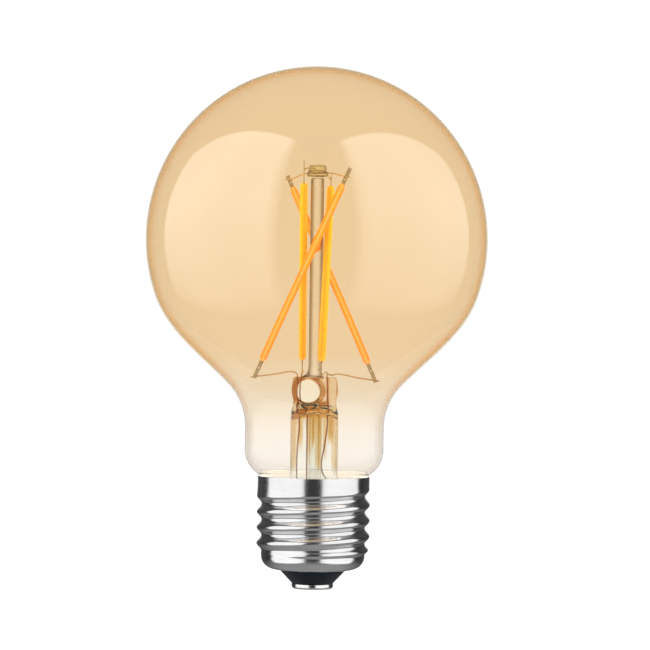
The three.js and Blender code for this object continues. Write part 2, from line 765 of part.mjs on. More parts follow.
// The stem's surface, moved in by the given wall: the flare, the round tube, and the flattening
// towards the press. The outer surface goes on up to the press top, and the inner one ends in a roof.
const blendStart = roofLevel - pressBlend / 2;
function stemSurface(wall) {
  const flareRise = [0, flareThickness, flareThickness + 0.35, 2.4, 4.1, 6.0];
  const flareSpread = [1, 1, 0.66, 0.34, 0.1, 0];
  const rings = flareRise.map((rise, i) => {
    const spread = wall && i < 2 ? 0.8 : flareSpread[i];
    const r = THREE.MathUtils.lerp(tubeRadius, mouthRadius, spread) - wall;
    const level = flareBottom + rise - (i < 5 ? wall : 0) - (wall && i === 0 ? 1 : 0);
    return stemRing(level, r, r, 0);
  });
  const oval = (level) => {
    const share = smooth((level - blendStart) / pressBlend);
    const halfWidth = THREE.MathUtils.lerp(tubeRadius, pressHalfWidth, share) - wall;
    const halfDepth = THREE.MathUtils.lerp(tubeRadius, pressHalfDepth, share) - wall;
    return [level, halfWidth, halfDepth, 0.5 * share];
  };
  const blendLevels = [0, 0.25, 0.5, 0.75, 1].map((share) => blendStart + share * pressBlend);
  const used = blendLevels.filter((level) => !wall || level < roofLevel - 1);
  for (const level of used) rings.push(stemRing(...oval(level)));
  if (wall) {
    const [, halfWidth, halfDepth] = oval(roofLevel);
    rings.push(stemRing(roofLevel - 0.5, halfWidth * 0.95, halfDepth * 0.95, 0.2));
    rings.push(stemRing(roofLevel, halfWidth * 0.75, halfDepth * 0.82, 0.2));
  } else {
    rings.push(stemRing(pressTop - 0.5, pressHalfWidth, pressHalfDepth, 0.5));
    rings.push(stemRing(pressTop, pressHalfWidth - 0.4, pressHalfDepth - 0.4, 0.5));
  }
  return skinned(rings);
}
let stem = solid(stemSurface(0)).subtract(solid(stemSurface(tubeWall)));
for (const [, route] of leadRoutes) {
  stem = stem.subtract(solid(wire(route, leadRadius + channelGap, leadSteps)));
}

// The vent opens through the front of the press, and a short channel leads to it from the roof, so
// that the exhaust tube could draw the air out of the globe.
const ventLevel = roofLevel + 4.4;
const vent = new THREE.CylinderGeometry(1, 0.75, pressHalfDepth + 0.4, 16).rotateX(Math.PI);
vent.scale(ventHalfWidth, 1, ventHalfHeight).translate(ventOffset, -(pressHalfDepth + 0.4) / 2, ventLevel);
stem = stem.subtract(solid(vent));
const channelRadius = exhaustRadius - exhaustWall - 0.15;
const ventChannel = post(channelRadius, ventLevel - roofLevel + 0.5, -0.4, -0.55, roofLevel - 0.5, 12);
stem = stem.subtract(solid(ventChannel));
add("stem_tube", geometryOf(stem), clearGlass);

// The exhaust tube hangs inside the stem and ends in the sealed tip that was pinched off.
const exhaustTop = roofLevel - sealGap;
const exhaustTip = capLength - exhaustReach;
const exhaustBore = exhaustRadius - exhaustWall;
add(
  "exhaust_tube",
  turned(
    [
      [0, exhaustTip],
      [0.4, exhaustTip + 0.15],
      [exhaustRadius * 0.7, exhaustTip + 1.3],
      [exhaustRadius, exhaustTip + 3.0],
      [exhaustRadius, exhaustTop],
      [exhaustBore, exhaustTop],
      [exhaustBore, exhaustTip + 3.6],
      [0, exhaustTip + 1.9],
    ],
    20,
  ),
  clearGlass,
);

// ---------------------------------------------------------------- driver in the cap

// The round board, with a hole for each wire that passes through it.
const holeRadius = leadRadius + 0.3;
let board = solid(post(boardRadius, boardThickness, 0, 0, boardBottom, 32));
for (const hole of Object.values(boardHoles)) {
  board = board.subtract(solid(post(holeRadius, boardThickness * 3, hole.x, hole.y, boardBottom - 1, 8)));
}
add("driver_board", geometryOf(board), boardGreen);

const onBoard = boardTop + solderGap;
const underBoard = (height) => boardBottom - solderGap - height;

// Upper side: the radio board stands behind the exhaust tip, with its can facing the middle.
const radioWidth = 11.5;
const radioHeight = topRoom - 0.8;
const radioThickness = 0.8;
const radioPlace = boardRadius - 3.6;
const canDepth = 1.4;
const canPlace = radioPlace - (radioThickness + canDepth) / 2 - solderGap;
add("radio_board", block(radioWidth, radioThickness, radioHeight, 0, radioPlace, onBoard), boardGreen);
add("radio_shield", block(6.4, canDepth, topRoom - 2.8, -1.6, canPlace, onBoard + 0.6), tinnedCan);

const capacitorRadius = 2.9;
const capacitorPlace = boardRadius - capacitorRadius - 0.9;
const capacitorTurn = THREE.MathUtils.degToRad(216);
add(
  "smoothing_capacitor",
  post(
    capacitorRadius,
    topRoom - 1.0,
    capacitorPlace * Math.cos(capacitorTurn),
    capacitorPlace * Math.sin(capacitorTurn),
    onBoard,
  ),
  sleeveBlack,
);

// The choke: a ferrite bobbin with its winding as a ring round the waist.
const chokeFlange = 2.5;
const chokeWaist = 1.2;
const chokeHeight = topRoom - 2.2;
const chokeRim = 0.15 * chokeHeight;
const chokePlace = boardRadius - chokeFlange - 0.9;
const chokeTurn = THREE.MathUtils.degToRad(308);
const [chokeX, chokeY] = [chokePlace * Math.cos(chokeTurn), chokePlace * Math.sin(chokeTurn)];
const bobbin = [
  [0, 0],
  [chokeFlange, 0],
  [chokeFlange, chokeRim],
  [chokeWaist, chokeRim],
  [chokeWaist, chokeHeight - chokeRim],
  [chokeFlange, chokeHeight - chokeRim],
  [chokeFlange, chokeHeight],
  [0, chokeHeight],
];
add("choke_core", turned(bobbin, 20).translate(chokeX, chokeY, onBoard), ferrite);
const windingGap = 0.1;
const winding = closed([
  [chokeWaist + windingGap, chokeRim + windingGap],
  [chokeFlange - 0.25, chokeRim + windingGap],
  [chokeFlange - 0.25, chokeHeight - chokeRim - windingGap],
  [chokeWaist + windingGap, chokeHeight - chokeRim - windingGap],
]);
add("choke_winding", turned(winding, 20).translate(chokeX, chokeY, onBoard), copper);

// Under side: rectifier, driver chip, one switch for each pair of filaments, and the fuse resistor.
add("bridge_rectifier", block(4.2, 3.8, 2.2, -5.2, 3.6, underBoard(2.2)), epoxyBlack);
add("driver_chip", block(4.8, 3.8, 1.5, 5.2, 3.4, underBoard(1.5)), epoxyBlack);
add("warm_switch", block(2.9, 1.5, 1.1, -4.6, -6.4, underBoard(1.1)), epoxyBlack);
add("cool_switch", block(2.9, 1.5, 1.1, 3.6, -6.4, underBoard(1.1)), epoxyBlack);

// The fuse resistor lies between the rivet and the board, in line with the live lead.
const fuseRadius = 1.15;
const fuseLength = 6.2;
const fuseLevel = underBoard(0) - fuseRadius - 0.9;
const fusePlace = -2.0;
const fuse = new THREE.CylinderGeometry(fuseRadius, fuseRadius, fuseLength, 16).rotateZ(Math.PI / 2);
add("fuse_resistor", fuse.translate(0, fusePlace, fuseLevel), resistorBlue);

// The live lead rises from the rivet to one end of the fuse resistor, and the second lead goes on
// from its other end to the board.
const thinLead = 0.3;
const fuseEnd = fuseLength / 2 + solderGap;
const liveLead = [
  at(0, 0, contactThickness),
  at(0, 0, rivetTop - 1.0),
  at(0.02, 0, rivetTop + 0.2),
  at(fuseEnd + 0.9, fusePlace + 0.6, fuseLevel - 0.4),
  at(fuseEnd + 0.8, fusePlace, fuseLevel),
  at(fuseEnd + 0.05, fusePlace, fuseLevel),
];
add("live_lead", wire(liveLead, thinLead, 24), copper);
const fuseLead = [
  at(-fuseEnd - 0.05, fusePlace, fuseLevel),
  at(-fuseEnd - 0.9, fusePlace + 0.1, fuseLevel),
  at(-fuseEnd - 0.6, 0.4, fuseLevel - 0.5),
  at(-1.2, boardHoles.live.y - 0.3, fuseLevel - 0.6),
  at(0, boardHoles.live.y, boardBottom - 0.8),
  at(0, boardHoles.live.y, boardTop + 0.6),
];
add("fuse_lead", wire(fuseLead, leadRadius, 30), copper);

// The neutral lead rises from the board and is trapped against the skirt, inside the rim.
const neutral = boardHoles.neutral;
const neutralReach = mouthRadius + 0.4;
const skirtWay = at(neutral.x, neutral.y, 0).normalize();
const alongSkirt = (reach, level) => at(skirtWay.x * reach, skirtWay.y * reach, level);
const neutralLead = [
  at(neutral.x, neutral.y, leadEnd),
  at(neutral.x, neutral.y, boardTop + 1.2),
  alongSkirt(boardRadius - 0.3, boardTop + 0.43 * topRoom),
  alongSkirt(boardRadius + 0.3, flareBottom - 1.2),
];
add("neutral_lead", wire(neutralLead, leadRadius, 16), copper);

export default lamp;
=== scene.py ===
# %% [markdown]
# # A filament lamp with an amber globe
# This lesson builds the looks of a tunable-white filament lamp: a blown amber globe, a glass stem, four
# coated filaments and a rolled screw cap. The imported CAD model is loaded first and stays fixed. Each piece
# that is seen is then worked out again with finer surfaces, in the same place, and rides on the one body.

import math

import bpy
import numpy as np
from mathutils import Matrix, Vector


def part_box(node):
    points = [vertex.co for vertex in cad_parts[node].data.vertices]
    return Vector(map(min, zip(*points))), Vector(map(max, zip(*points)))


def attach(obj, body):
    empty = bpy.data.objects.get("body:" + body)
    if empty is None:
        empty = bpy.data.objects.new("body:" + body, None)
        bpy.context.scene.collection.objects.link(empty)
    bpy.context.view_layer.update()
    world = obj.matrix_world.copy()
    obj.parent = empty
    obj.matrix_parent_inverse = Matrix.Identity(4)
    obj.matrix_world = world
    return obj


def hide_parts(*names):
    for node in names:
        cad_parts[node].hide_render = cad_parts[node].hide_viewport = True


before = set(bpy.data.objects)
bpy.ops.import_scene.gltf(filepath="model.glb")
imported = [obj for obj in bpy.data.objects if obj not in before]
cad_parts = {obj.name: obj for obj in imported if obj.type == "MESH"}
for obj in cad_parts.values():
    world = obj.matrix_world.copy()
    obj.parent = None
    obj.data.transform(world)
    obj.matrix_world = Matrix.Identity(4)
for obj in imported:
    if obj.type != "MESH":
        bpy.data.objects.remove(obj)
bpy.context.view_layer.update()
cap_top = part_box("screw_shell")[1][2] * 1000
print("nodes", len(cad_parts), "cap rim at", round(cap_top, 2), "mm")

# %% [markdown]
# ## A grid of points becomes a skin
# Every new piece is a grid: each row is a ring of points round the piece, and neighbouring rings are joined
# by four-sided faces. Where a ring shrinks to nothing, a single pole point closes the skin with a fan, so
# no piece has a hole. All points are worked out as whole arrays. The signed volume under the faces says
# whether they point out, and the whole skin is turned round if they don't.

# %% Helpers that make a mesh from a grid
MM = 0.001


def add_piece(name, points, faces, slot, node=None, attributes=None):
    """Make an object from points in millimetres. Its place is in its mesh, and it stands for the CAD node."""
    mesh = bpy.data.meshes.new(name)
    mesh.from_pydata((points * MM).tolist(), [], faces)
    for key, values in (attributes or {}).items():
        mesh.attributes.new(key, "FLOAT", "POINT").data.foreach_set("value", values.astype(np.float32))
    mesh.shade_smooth()
    mesh.set_sharp_from_angle(angle=math.radians(48))
    piece = bpy.data.objects.new(name, mesh)
    bpy.context.scene.collection.objects.link(piece)
    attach(piece, "root")
    if node:
        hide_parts(node)
    print(name, len(points), "points", len(faces), "faces")
    return piece


def skin(rings, first_pole=None, last_pole=None, wraps=False):
    """Points and faces of a stack of rings. Quad (i, j) joins ring i to ring i + 1 at columns j and j + 1,
    the columns run round and meet, and each pole is joined to its ring by a fan of triangles."""
    rows, around = rings.shape[:2]
    points = rings.reshape(-1, 3)
    i, j = np.meshgrid(np.arange(rows if wraps else rows - 1), np.arange(around), indexing="ij")
    k, below = (j + 1) % around, (i + 1) % rows
    quads = np.stack([i * around + j, i * around + k, below * around + k, below * around + j], -1)
    corners = [quads.reshape(-1, 4)]
    column = np.arange(around)
    beside = (column + 1) % around
    for pole, row, turned_round in ((first_pole, 0, True), (last_pole, rows - 1, False)):
        if pole is None:
            continue
        tip = np.full(around, len(points))
        points = np.vstack([points, pole])
        edge = [row * around + column, row * around + beside]
        corners.append(np.stack([tip, *(edge[::-1] if turned_round else edge)], -1))
    triangles = np.vstack([corners[0][:, [0, 1, 2]], corners[0][:, [0, 2, 3]], *corners[1:]])
    a, b, c = (points[triangles[:, n]] for n in range(3))
    volume = np.einsum("ij,ij->i", a, np.cross(b, c)).sum() / 6
    if volume < 0:
        corners = [faces[:, ::-1] for faces in corners]
    return points, [face for faces in corners for face in faces.tolist()]


def smooth(t):
    """Zero below 0, one above 1, and an easy S between: three times t squared less twice t cubed."""
    t = np.clip(t, 0, 1)
    return t * t * (3 - 2 * t)


print("helpers ready")

# %% [markdown]
# ## Turned pieces
# The globe, the exhaust tube, the post, the button, the insulator and the contact are all round, so each is
# an outline of radius and height carried round the lamp's axis. Glass and stamped metal have no knife
# edges, so every corner of an outline is first eased by a short curve. A Bevel modifier could do that as
# well, but an eased outline costs no extra step and keeps the skin an even grid.

# %% Helpers for turned pieces


def eased(corners, reach, steps=6):
    """An outline with each inner corner replaced by a curve: the blend (1-t)^2, 2t(1-t), t^2 of a point
    before the corner, the corner and a point after it. The points are at the reach from the corner."""
    p = np.array(corners, float)
    before, here, after = p[:-2], p[1:-1], p[2:]
    reach = np.broadcast_to(reach, len(here))[:, None]
    back, on = before - here, after - here
    back_length = np.linalg.norm(back, axis=1, keepdims=True)
    on_length = np.linalg.norm(on, axis=1, keepdims=True)
    start = here + back / back_length * np.minimum(reach, 0.45 * back_length)
    end = here + on / on_length * np.minimum(reach, 0.45 * on_length)
    t = np.linspace(0, 1, steps)[None, :, None]
    curve = (1 - t) ** 2 * start[:, None] + 2 * t * (1 - t) * here[:, None] + t**2 * end[:, None]
    return np.vstack([p[:1], curve.reshape(-1, 2), p[-1:]])


def carried_round(outline, columns=120):
    """Rings of an outline of (radius, height): x is the radius times the cosine of the angle, y the radius
    times its sine, and z the height. An end on the axis becomes a pole."""
    outline = np.array(outline, float)
    ends = [outline[n] if outline[n, 0] < 1e-6 else None for n in (0, -1)]
    rows = outline[1 if ends[0] is not None else 0 : -1 if ends[1] is not None else None]
    angle = np.linspace(0, 2 * np.pi, columns, endpoint=False)
    height = np.broadcast_to(rows[:, 1:2], (len(rows), columns))
    rings = np.stack([np.outer(rows[:, 0], np.cos(angle)), np.outer(rows[:, 0], np.sin(angle)), height], -1)
    poles = [None if end is None else np.array([0, 0, end[1]]) for end in ends]
    return skin(rings, *poles, wraps=ends[0] is None and ends[1] is None)


print("turned pieces ready")

# %% [markdown]
# ## Finishes are small node trees
# Each finish is one Principled shader with its colour, roughness and relief worked out from noise in Object
# coordinates, so that nothing on the lamp is one flat colour. A few short helpers keep the trees readable:
# one adds a node, one spreads a number over a colour ramp, and one turns a height into bump.

# %% Helpers for finishes


def node_in(tree, kind, settings=None, **inputs):
    """Add a node, set its plain settings, and set or link its inputs. An input's name has _ for a space."""
    made = tree.nodes.new("ShaderNode" + kind)
    for key, value in (settings or {}).items():
        setattr(made, key, value)
    for key, value in inputs.items():
        socket = made.inputs[int(key[1:]) if key[1:].isdigit() else key.replace("_", " ")]
        if isinstance(value, bpy.types.NodeSocket):
            tree.links.new(value, socket)
        else:
            socket.default_value = value
    return made


def finish(name, **inputs):
    """A new material with one Principled shader. Plain numbers go straight on the shader's sockets."""
    material = bpy.data.materials.new(name)
    material.use_nodes = True
    tree = material.node_tree
    tree.nodes.clear()
    shader = node_in(tree, "BsdfPrincipled", **inputs)
    node_in(tree, "OutputMaterial", Surface=shader.outputs["BSDF"])
    place = node_in(tree, "TexCoord").outputs["Object"]
    return material, tree, shader, place


def noise(tree, place, per_mm, detail=4.0, roughness=0.55):
    """Fractal noise with this many features in a millimetre, because Object coordinates are metres."""
    made = node_in(tree, "TexNoise", Vector=place, Scale=per_mm * 1000, Detail=detail, Roughness=roughness)
    return made.outputs["Fac"]


def ramp(tree, value, *stops):
    """Spread a number over colours. Each stop is a position and a colour."""
    made = node_in(tree, "ValToRGB", Fac=value)
    elements = made.color_ramp.elements
    for n, (position, colour) in enumerate(stops):
        element = elements[n] if n < 2 else elements.new(position)
        element.position = position
        element.color = (*colour, 1)
    return made.outputs["Color"]


def spread(tree, value, low, high, to_low=0.0, to_high=1.0):
    """Map a number from one range to another in a straight line, held at the ends."""
    keys = dict(_1=low, _2=high, _3=to_low, _4=to_high)
    return node_in(tree, "MapRange", _0=value, **keys).outputs["Result"]


def mixed(tree, share, first, second, how="MIX"):
    """Mix two colours by a share from 0 to 1."""
    made = node_in(tree, "Mix", {"data_type": "RGBA", "blend_type": how}, _0=share, _6=first, _7=second)
    return made.outputs[2]


def sums(tree, how, first, second):
    """One sum on two numbers."""
    return node_in(tree, "Math", {"operation": how}, _0=first, _1=second).outputs[0]


def relief(tree, shader, height, depth_mm, strength=0.5):
    """Turn a height from 0 to 1 into bump of this depth."""
    made = node_in(tree, "Bump", Height=height, Distance=depth_mm * MM, Strength=strength)
    tree.links.new(made.outputs["Normal"], shader.inputs["Normal"])


def stored_value(tree, attribute):
    """A number that is stored on the mesh's points."""
    return node_in(tree, "Attribute", {"attribute_name": attribute}).outputs["Fac"]


def grained(name, dark, light, per_mm, detail, rough, depth_mm, strength=0.5, stretch=None, **inputs):
    """A finish that wanders between two colours and two roughnesses, with relief from the same grain."""
    material, tree, shader, place = finish(name, **inputs)
    if stretch:
        place = node_in(tree, "Mapping", Vector=place, Scale=stretch).outputs[0]
    grain = noise(tree, place, per_mm, detail)
    tree.links.new(ramp(tree, grain, (0.3, dark), (0.7, light)), shader.inputs["Base Color"])
    tree.links.new(spread(tree, grain, 0.3, 0.7, *rough), shader.inputs["Roughness"])
    relief(tree, shader, grain, depth_mm, strength)
    return material


def height_mm(tree, place):
    """How high a point is on the lamp, in millimetres."""
    z = node_in(tree, "SeparateXYZ", Vector=place).outputs["Z"]
    return sums(tree, "MULTIPLY", z, 1000.0)


print("finishes ready")

# %% [markdown]
# ## Camera
# The camera looks level at the lamp from 600 mm away with a long lens, so the cap is seen hardly from above
# and the thread's turns stay nearly level. It is turned by three quarters of a degree about its own line of
# sight, which makes the lamp lean a little to the right. It comes first so that every later step can be
# looked at.

# %% Camera
CAMERA_PLACE = (2.15, -600.0, 60.95)
CAMERA_LEAN = -0.75

camera_data = bpy.data.cameras.new("portrait_camera")
camera_data.sensor_width = 36
camera_data.lens = 143.5
camera_data.clip_start, camera_data.clip_end = 0.01, 20
camera = bpy.data.objects.new("portrait_camera", camera_data)
camera.location = [n * MM for n in CAMERA_PLACE]
camera.rotation_euler = (math.radians(90), math.radians(CAMERA_LEAN), 0)
bpy.context.scene.collection.objects.link(camera)
bpy.context.scene.camera = camera
bpy.context.scene.view_settings.view_transform = "Standard"
print("camera at", CAMERA_PLACE, "mm")

# %% [markdown]
# ## Studio light
# Polished metal and glass show the room, so the room is planned first. Two tall softboxes stand left and
# right of the camera, with a gap between them that becomes the dark band down the middle of the cap. A
# small panel, high up and behind, puts a little light on what faces up.

# %% Softboxes


def softbox(name, place_mm, size_mm, power, facing=None):
    """A panel of light that faces the middle of the lamp, or another way. The camera and the glass look
    through it."""
    light = bpy.data.lights.new(name, "AREA")
    light.shape = "RECTANGLE"
    light.size, light.size_y = size_mm[0] * MM, size_mm[1] * MM
    light.energy = power
    panel = bpy.data.objects.new(name, light)
    panel.location = [n * MM for n in place_mm]
    way = np.array([0, 0, 62.0]) - np.array(place_mm) if facing is None else np.array(facing, float)
    panel.rotation_euler = (math.pi / 2 + math.atan2(way[2], math.hypot(way[0], way[1])), 0,
                            math.atan2(way[1], way[0]) - math.pi / 2)
    panel.visible_camera = False
    panel.visible_transmission = False
    bpy.context.scene.collection.objects.link(panel)
    print(name, place_mm, round(power, 2), "W")
    return panel


cap_panels = [
    softbox("left_softbox", (-343, -186, 80), (730, 760), 2.5),
    softbox("right_softbox", (340, -196, 80), (720, 760), 2.4),
    softbox("crown_softbox", (0, 420, 420), (420, 200), 0.25),
]

# %% [markdown]
# ## White surroundings and floor
# The room is dark for reflections, which gives the metal its dark edges, and white to look at. The renderer
# counts rays that glass has bent as mirrored ones too, so they are subtracted, and the room seen through the
# glass is white. The glass mirrors a narrow patch straight behind at its outermost line. The patch is bright,
# because the line would be grey otherwise. The floor glows as brightly as the room, because its horizon
# would show as a curved edge in the throat.

# %% Surroundings
WHITE = 1.09

world = bpy.data.worlds.new("studio_room")
bpy.context.scene.world = world
world.use_nodes = True
room = world.node_tree
room.nodes.clear()
way = node_in(room, "SeparateXYZ", Vector=node_in(room, "TexCoord").outputs["Generated"])
behind = sums(room, "MAXIMUM", spread(room, way.outputs["Y"], 0.93, 0.975, 0.0, 0.9),
              spread(room, way.outputs["Y"], 0.3, 0.7, 0.0, 0.06))
overhead = spread(room, way.outputs["Z"], 0.55, 0.95, 0.0, 0.28)
below = spread(room, way.outputs["Z"], -0.25, -0.8, 0.0, 0.32)
mirrored = sums(room, "MAXIMUM", sums(room, "MAXIMUM", behind, overhead), sums(room, "ADD", below, 0.03))
mirrored_colour = node_in(room, "CombineColor", Red=mirrored, Green=mirrored, Blue=mirrored).outputs[0]
ray = node_in(room, "LightPath").outputs
reflected = sums(room, "SUBTRACT", ray["Is Glossy Ray"], ray["Is Transmission Ray"])
room_colour = mixed(room, reflected, (1, 1, 1, 1), mirrored_colour)
backdrop = node_in(room, "Background", Color=room_colour, Strength=WHITE)
node_in(room, "OutputWorld", Surface=backdrop.outputs[0])
print("room of brightness", WHITE)

# %% Floor
FLOOR_RADIUS, FLOOR_EDGE, FLOOR_SIDES = 0.9, 2.0, 64

floor_material, tree, shader, place = finish("pale_floor", Roughness=0.6)
paper = ramp(tree, noise(tree, place, 0.02), (0.3, (0.09, 0.09, 0.09)), (0.7, (0.11, 0.11, 0.11)))
tree.links.new(paper, shader.inputs["Base Color"])
shader.inputs["Emission Color"].default_value = (1, 1, 1, 1)
shader.inputs["Emission Strength"].default_value = 1.0

floor_angle = np.linspace(0, 2 * np.pi, FLOOR_SIDES, endpoint=False)
floor_rings = np.multiply.outer([FLOOR_RADIUS, FLOOR_EDGE],
                                np.stack([np.cos(floor_angle), np.sin(floor_angle), 0 * floor_angle], -1))
column = np.arange(FLOOR_SIDES)
beside = (column + 1) % FLOOR_SIDES
floor_faces = [column.tolist()]
floor_faces += np.stack([column + FLOOR_SIDES, beside + FLOOR_SIDES, beside, column], -1).tolist()
floor_mesh = bpy.data.meshes.new("floor")
floor_mesh.from_pydata(floor_rings.reshape(-1, 3).tolist(), [], floor_faces)
floor = bpy.data.objects.new("floor", floor_mesh)
floor_mesh.materials.append(floor_material)
bpy.context.scene.collection.objects.link(floor)
floor.visible_glossy = False
print("floor", len(floor_faces), "faces")

# %% [markdown]
# ## The globe
# The globe is blown glass: a mouth that sits in the cap, a shoulder, a straight neck, a hollow throat, and
# then the big round. The outline is the same chain of arcs as in the CAD, but with far more points. The
# inner wall is the outer one moved in square to itself, and both are carried round together, so light bends
# at each wall as it does in real glass. The wall is 0.6 mm, thinner than the CAD's 0.9, because the edge of
# a thick wall is a broad pale band.

# %% The globe's outline
GLOBE_RADIUS, GLOBE_LEVEL, CROWN = 39.6, 80.6, 40.1
GLASS_WALL = 0.6
MOUTH_RADIUS, MOUTH_BOTTOM = 11.3, 21.3
NECK_RADIUS, SHOULDER_LEVEL, THROAT_LEVEL = 16.15, 32.08, 37.3
FLANK_TURN = math.radians(20)


def arc(centre, radius, start, end, steps):
    """Points on a circle or oval: the centre plus the radii times the cosine and sine of each angle."""
    angle = np.radians(np.linspace(start, end, steps))
    radius = np.broadcast_to(radius, 2)
    return np.stack([centre[0] + radius[0] * np.cos(angle), centre[1] + radius[1] * np.sin(angle)], -1)


def bezier(a, b, c, d, steps):
    """Points on a cubic curve from a to d that leaves towards b and arrives from c."""
    t = np.linspace(0, 1, steps)[:, None]
    return (1 - t) ** 3 * a + 3 * t * (1 - t) ** 2 * b + 3 * t**2 * (1 - t) * c + t**3 * d


def moved_in(outline, wall):
    """The outline moved to its left by the wall, square to the line between each point's neighbours."""
    way = np.gradient(outline, axis=0)
    way /= np.linalg.norm(way, axis=1, keepdims=True)
    return outline + wall * np.stack([-way[:, 1], way[:, 0]], -1)


fillet = arc((12.3, 24.86), 1.0, 180, 112.2, 8)
shoulder = arc((NECK_RADIUS - 6.8, SHOULDER_LEVEL), 6.8, -67.8, 0, 22)
throat = arc((NECK_RADIUS + 13.9, THROAT_LEVEL), 13.9, 180, 135, 22)
flank_way = np.array([math.sin(FLANK_TURN), math.cos(FLANK_TURN)])
flank_end = np.array([0, GLOBE_LEVEL]) + GLOBE_RADIUS * flank_way[::-1] * (1, -1)
reach = 0.33 * np.linalg.norm(flank_end - throat[-1])
flank = bezier(throat[-1], throat[-1] + reach * math.sqrt(0.5), flank_end - reach * flank_way, flank_end, 26)
side = arc((0, GLOBE_LEVEL), GLOBE_RADIUS, -20, 0, 12)
crown = arc((0, GLOBE_LEVEL), (GLOBE_RADIUS, CROWN), 0, 90, 44)
mouth = np.stack([np.full(4, MOUTH_RADIUS), np.linspace(MOUTH_BOTTOM, 24.2, 4)], -1)
neck = np.stack([np.full(4, NECK_RADIUS), np.linspace(SHOULDER_LEVEL, THROAT_LEVEL, 6)[1:-1]], -1)
glass_outside = np.vstack([mouth, fillet, shoulder[1:], neck, throat, flank[1:], side[1:], crown[1:]])
glass_outside[-1, 0] = 0
glass_inside = moved_in(glass_outside, GLASS_WALL)
glass_inside[-1, 0] = 0
print("outline of", len(glass_outside), "points, widest", glass_outside[:, 0].max())

# %% Carry the glass round
mouth_edge = arc((MOUTH_RADIUS - GLASS_WALL / 2, MOUTH_BOTTOM), (GLASS_WALL / 2, 0.3), 180, 360, 7)[1:-1]
glass_outline = np.vstack([glass_inside[::-1], mouth_edge, glass_outside])
globe = add_piece("amber_globe", *carried_round(glass_outline, 240), "amber_glass", "globe_envelope")

# %% [markdown]
# ## Amber coat
# Such globes are clear glass with an amber coat that is sprayed on and thins out over the throat, so the
# neck is almost clear. The tint therefore depends on height: a ramp from nearly white at the neck to amber
# over the round. Seen edge-on the coat is crossed at a slant and looks deeper, which is what draws the
# orange line round the globe, so Layer Weight deepens the tint there. Low down, where the coat is almost
# clear, the edge colour is a darker grey-brown, which is painted shade on the neck. A faint cloudiness keeps
# it from looking printed. The index of 1.24 is lower than real glass, because that narrows the band at the
# very edge where glass turns into a mirror, and the mirror would hide the line.

# %% Amber coated glass
amber, tree, shader, place = finish("amber_coated_glass", Roughness=0.0, IOR=1.24)
shader.inputs["Transmission Weight"].default_value = 1.0
cloud = noise(tree, place, 0.05, 3)
level = height_mm(tree, place)
wavy_level = sums(tree, "ADD", level, spread(tree, cloud, 0.3, 0.7, -1.5, 1.5))
coat = ramp(tree, spread(tree, wavy_level, 20, 120),
            (0.0, (0.89, 0.855, 0.81)), (0.13, (0.89, 0.85, 0.795)), (0.22, (0.89, 0.82, 0.715)),
            (0.34, (0.89, 0.755, 0.565)), (0.6, (0.885, 0.75, 0.555)), (1.0, (0.88, 0.74, 0.545)))
# Below the throat the rim colour is painted shade at the neck's edges; higher up it is the coat seen at a
# slant.
rim_colour = ramp(tree, spread(tree, wavy_level, 20, 120), (0.0, (0.78, 0.70, 0.62)),
                  (0.16, (0.80, 0.71, 0.62)), (0.34, (1.0, 0.60, 0.24)), (1.0, (1.0, 0.58, 0.20)))
slant = node_in(tree, "LayerWeight", Blend=0.5).outputs["Facing"]
edge_start = spread(tree, level, 36, 60, 0.67, 0.71)
edge_width = spread(tree, level, 36, 60, 0.06, 0.12)
rim = spread(tree, slant, edge_start, sums(tree, "ADD", edge_start, edge_width))
tree.links.new(mixed(tree, rim, coat, rim_colour), shader.inputs["Base Color"])
globe.data.materials.append(amber)
print("amber glass on", globe.name)

# %% [markdown]
# ## Panels that only the globe mirrors
# Glass mirrors only a twenty-fifth of a light that it faces, and metal two thirds. Panels that are right for
# the cap would be lost on the globe. A studio would move a second pair in and hide them from the cap, and
# light linking does the same: these two shine only on the globe. Real softboxes are also weaker towards
# their edges, so each panel's strength fades with how far out and how high on it a point lies.

# %% Soft panels for the globe
PANEL_GAP, PANEL_FACING, PANEL_NEAR, PANEL_FAR = 300.0, math.radians(46.4), -133.0, 1110.0
PANEL_MIDDLE, PANEL_HEIGHT = 80, 1260
NEAR_EDGE, FAR_EDGE = 0.126, 0.983


def globe_panel(name, side, radiance):
    """A long soft-edged panel beside the lamp. Strength is a ramp over how far out the point is, times eased
    fades at the top and the bottom."""
    facing = np.array([-side * math.sin(PANEL_FACING), math.cos(PANEL_FACING), 0])
    along = np.array([side * math.cos(PANEL_FACING), math.sin(PANEL_FACING), 0])
    middle = -facing * PANEL_GAP + along * (PANEL_NEAR + PANEL_FAR) / 2 + (0, 0, PANEL_MIDDLE)
    size = (PANEL_FAR - PANEL_NEAR, PANEL_HEIGHT)
    panel = softbox(name, middle.tolist(), size, radiance * math.pi * size[0] * size[1] * MM * MM, facing)
    panel.data.use_nodes = True
    tree = panel.data.node_tree
    spot = node_in(tree, "SeparateXYZ", Vector=node_in(tree, "NewGeometry").outputs["Position"]).outputs
    outwards = spread(tree, sums(tree, "ABSOLUTE", spot["X"], 0.0), NEAR_EDGE, FAR_EDGE)
    weaker = ramp(tree, outwards, (0.0, (0, 0, 0)), (0.05, (1, 1, 1)), (0.25, (0.85, 0.85, 0.85)),
                  (0.5, (0.47, 0.47, 0.47)), (0.9, (0.27, 0.27, 0.27)), (1.0, (0, 0, 0)))
    fades = sums(tree, "MULTIPLY", spread(tree, spot["Z"], -0.35, 0.2), spread(tree, spot["Z"], 0.71, 0.66))
    tree.links.new(sums(tree, "MULTIPLY", weaker, fades), tree.nodes["Emission"].inputs["Strength"])
    panel.light_linking.receiver_collection = globe_only


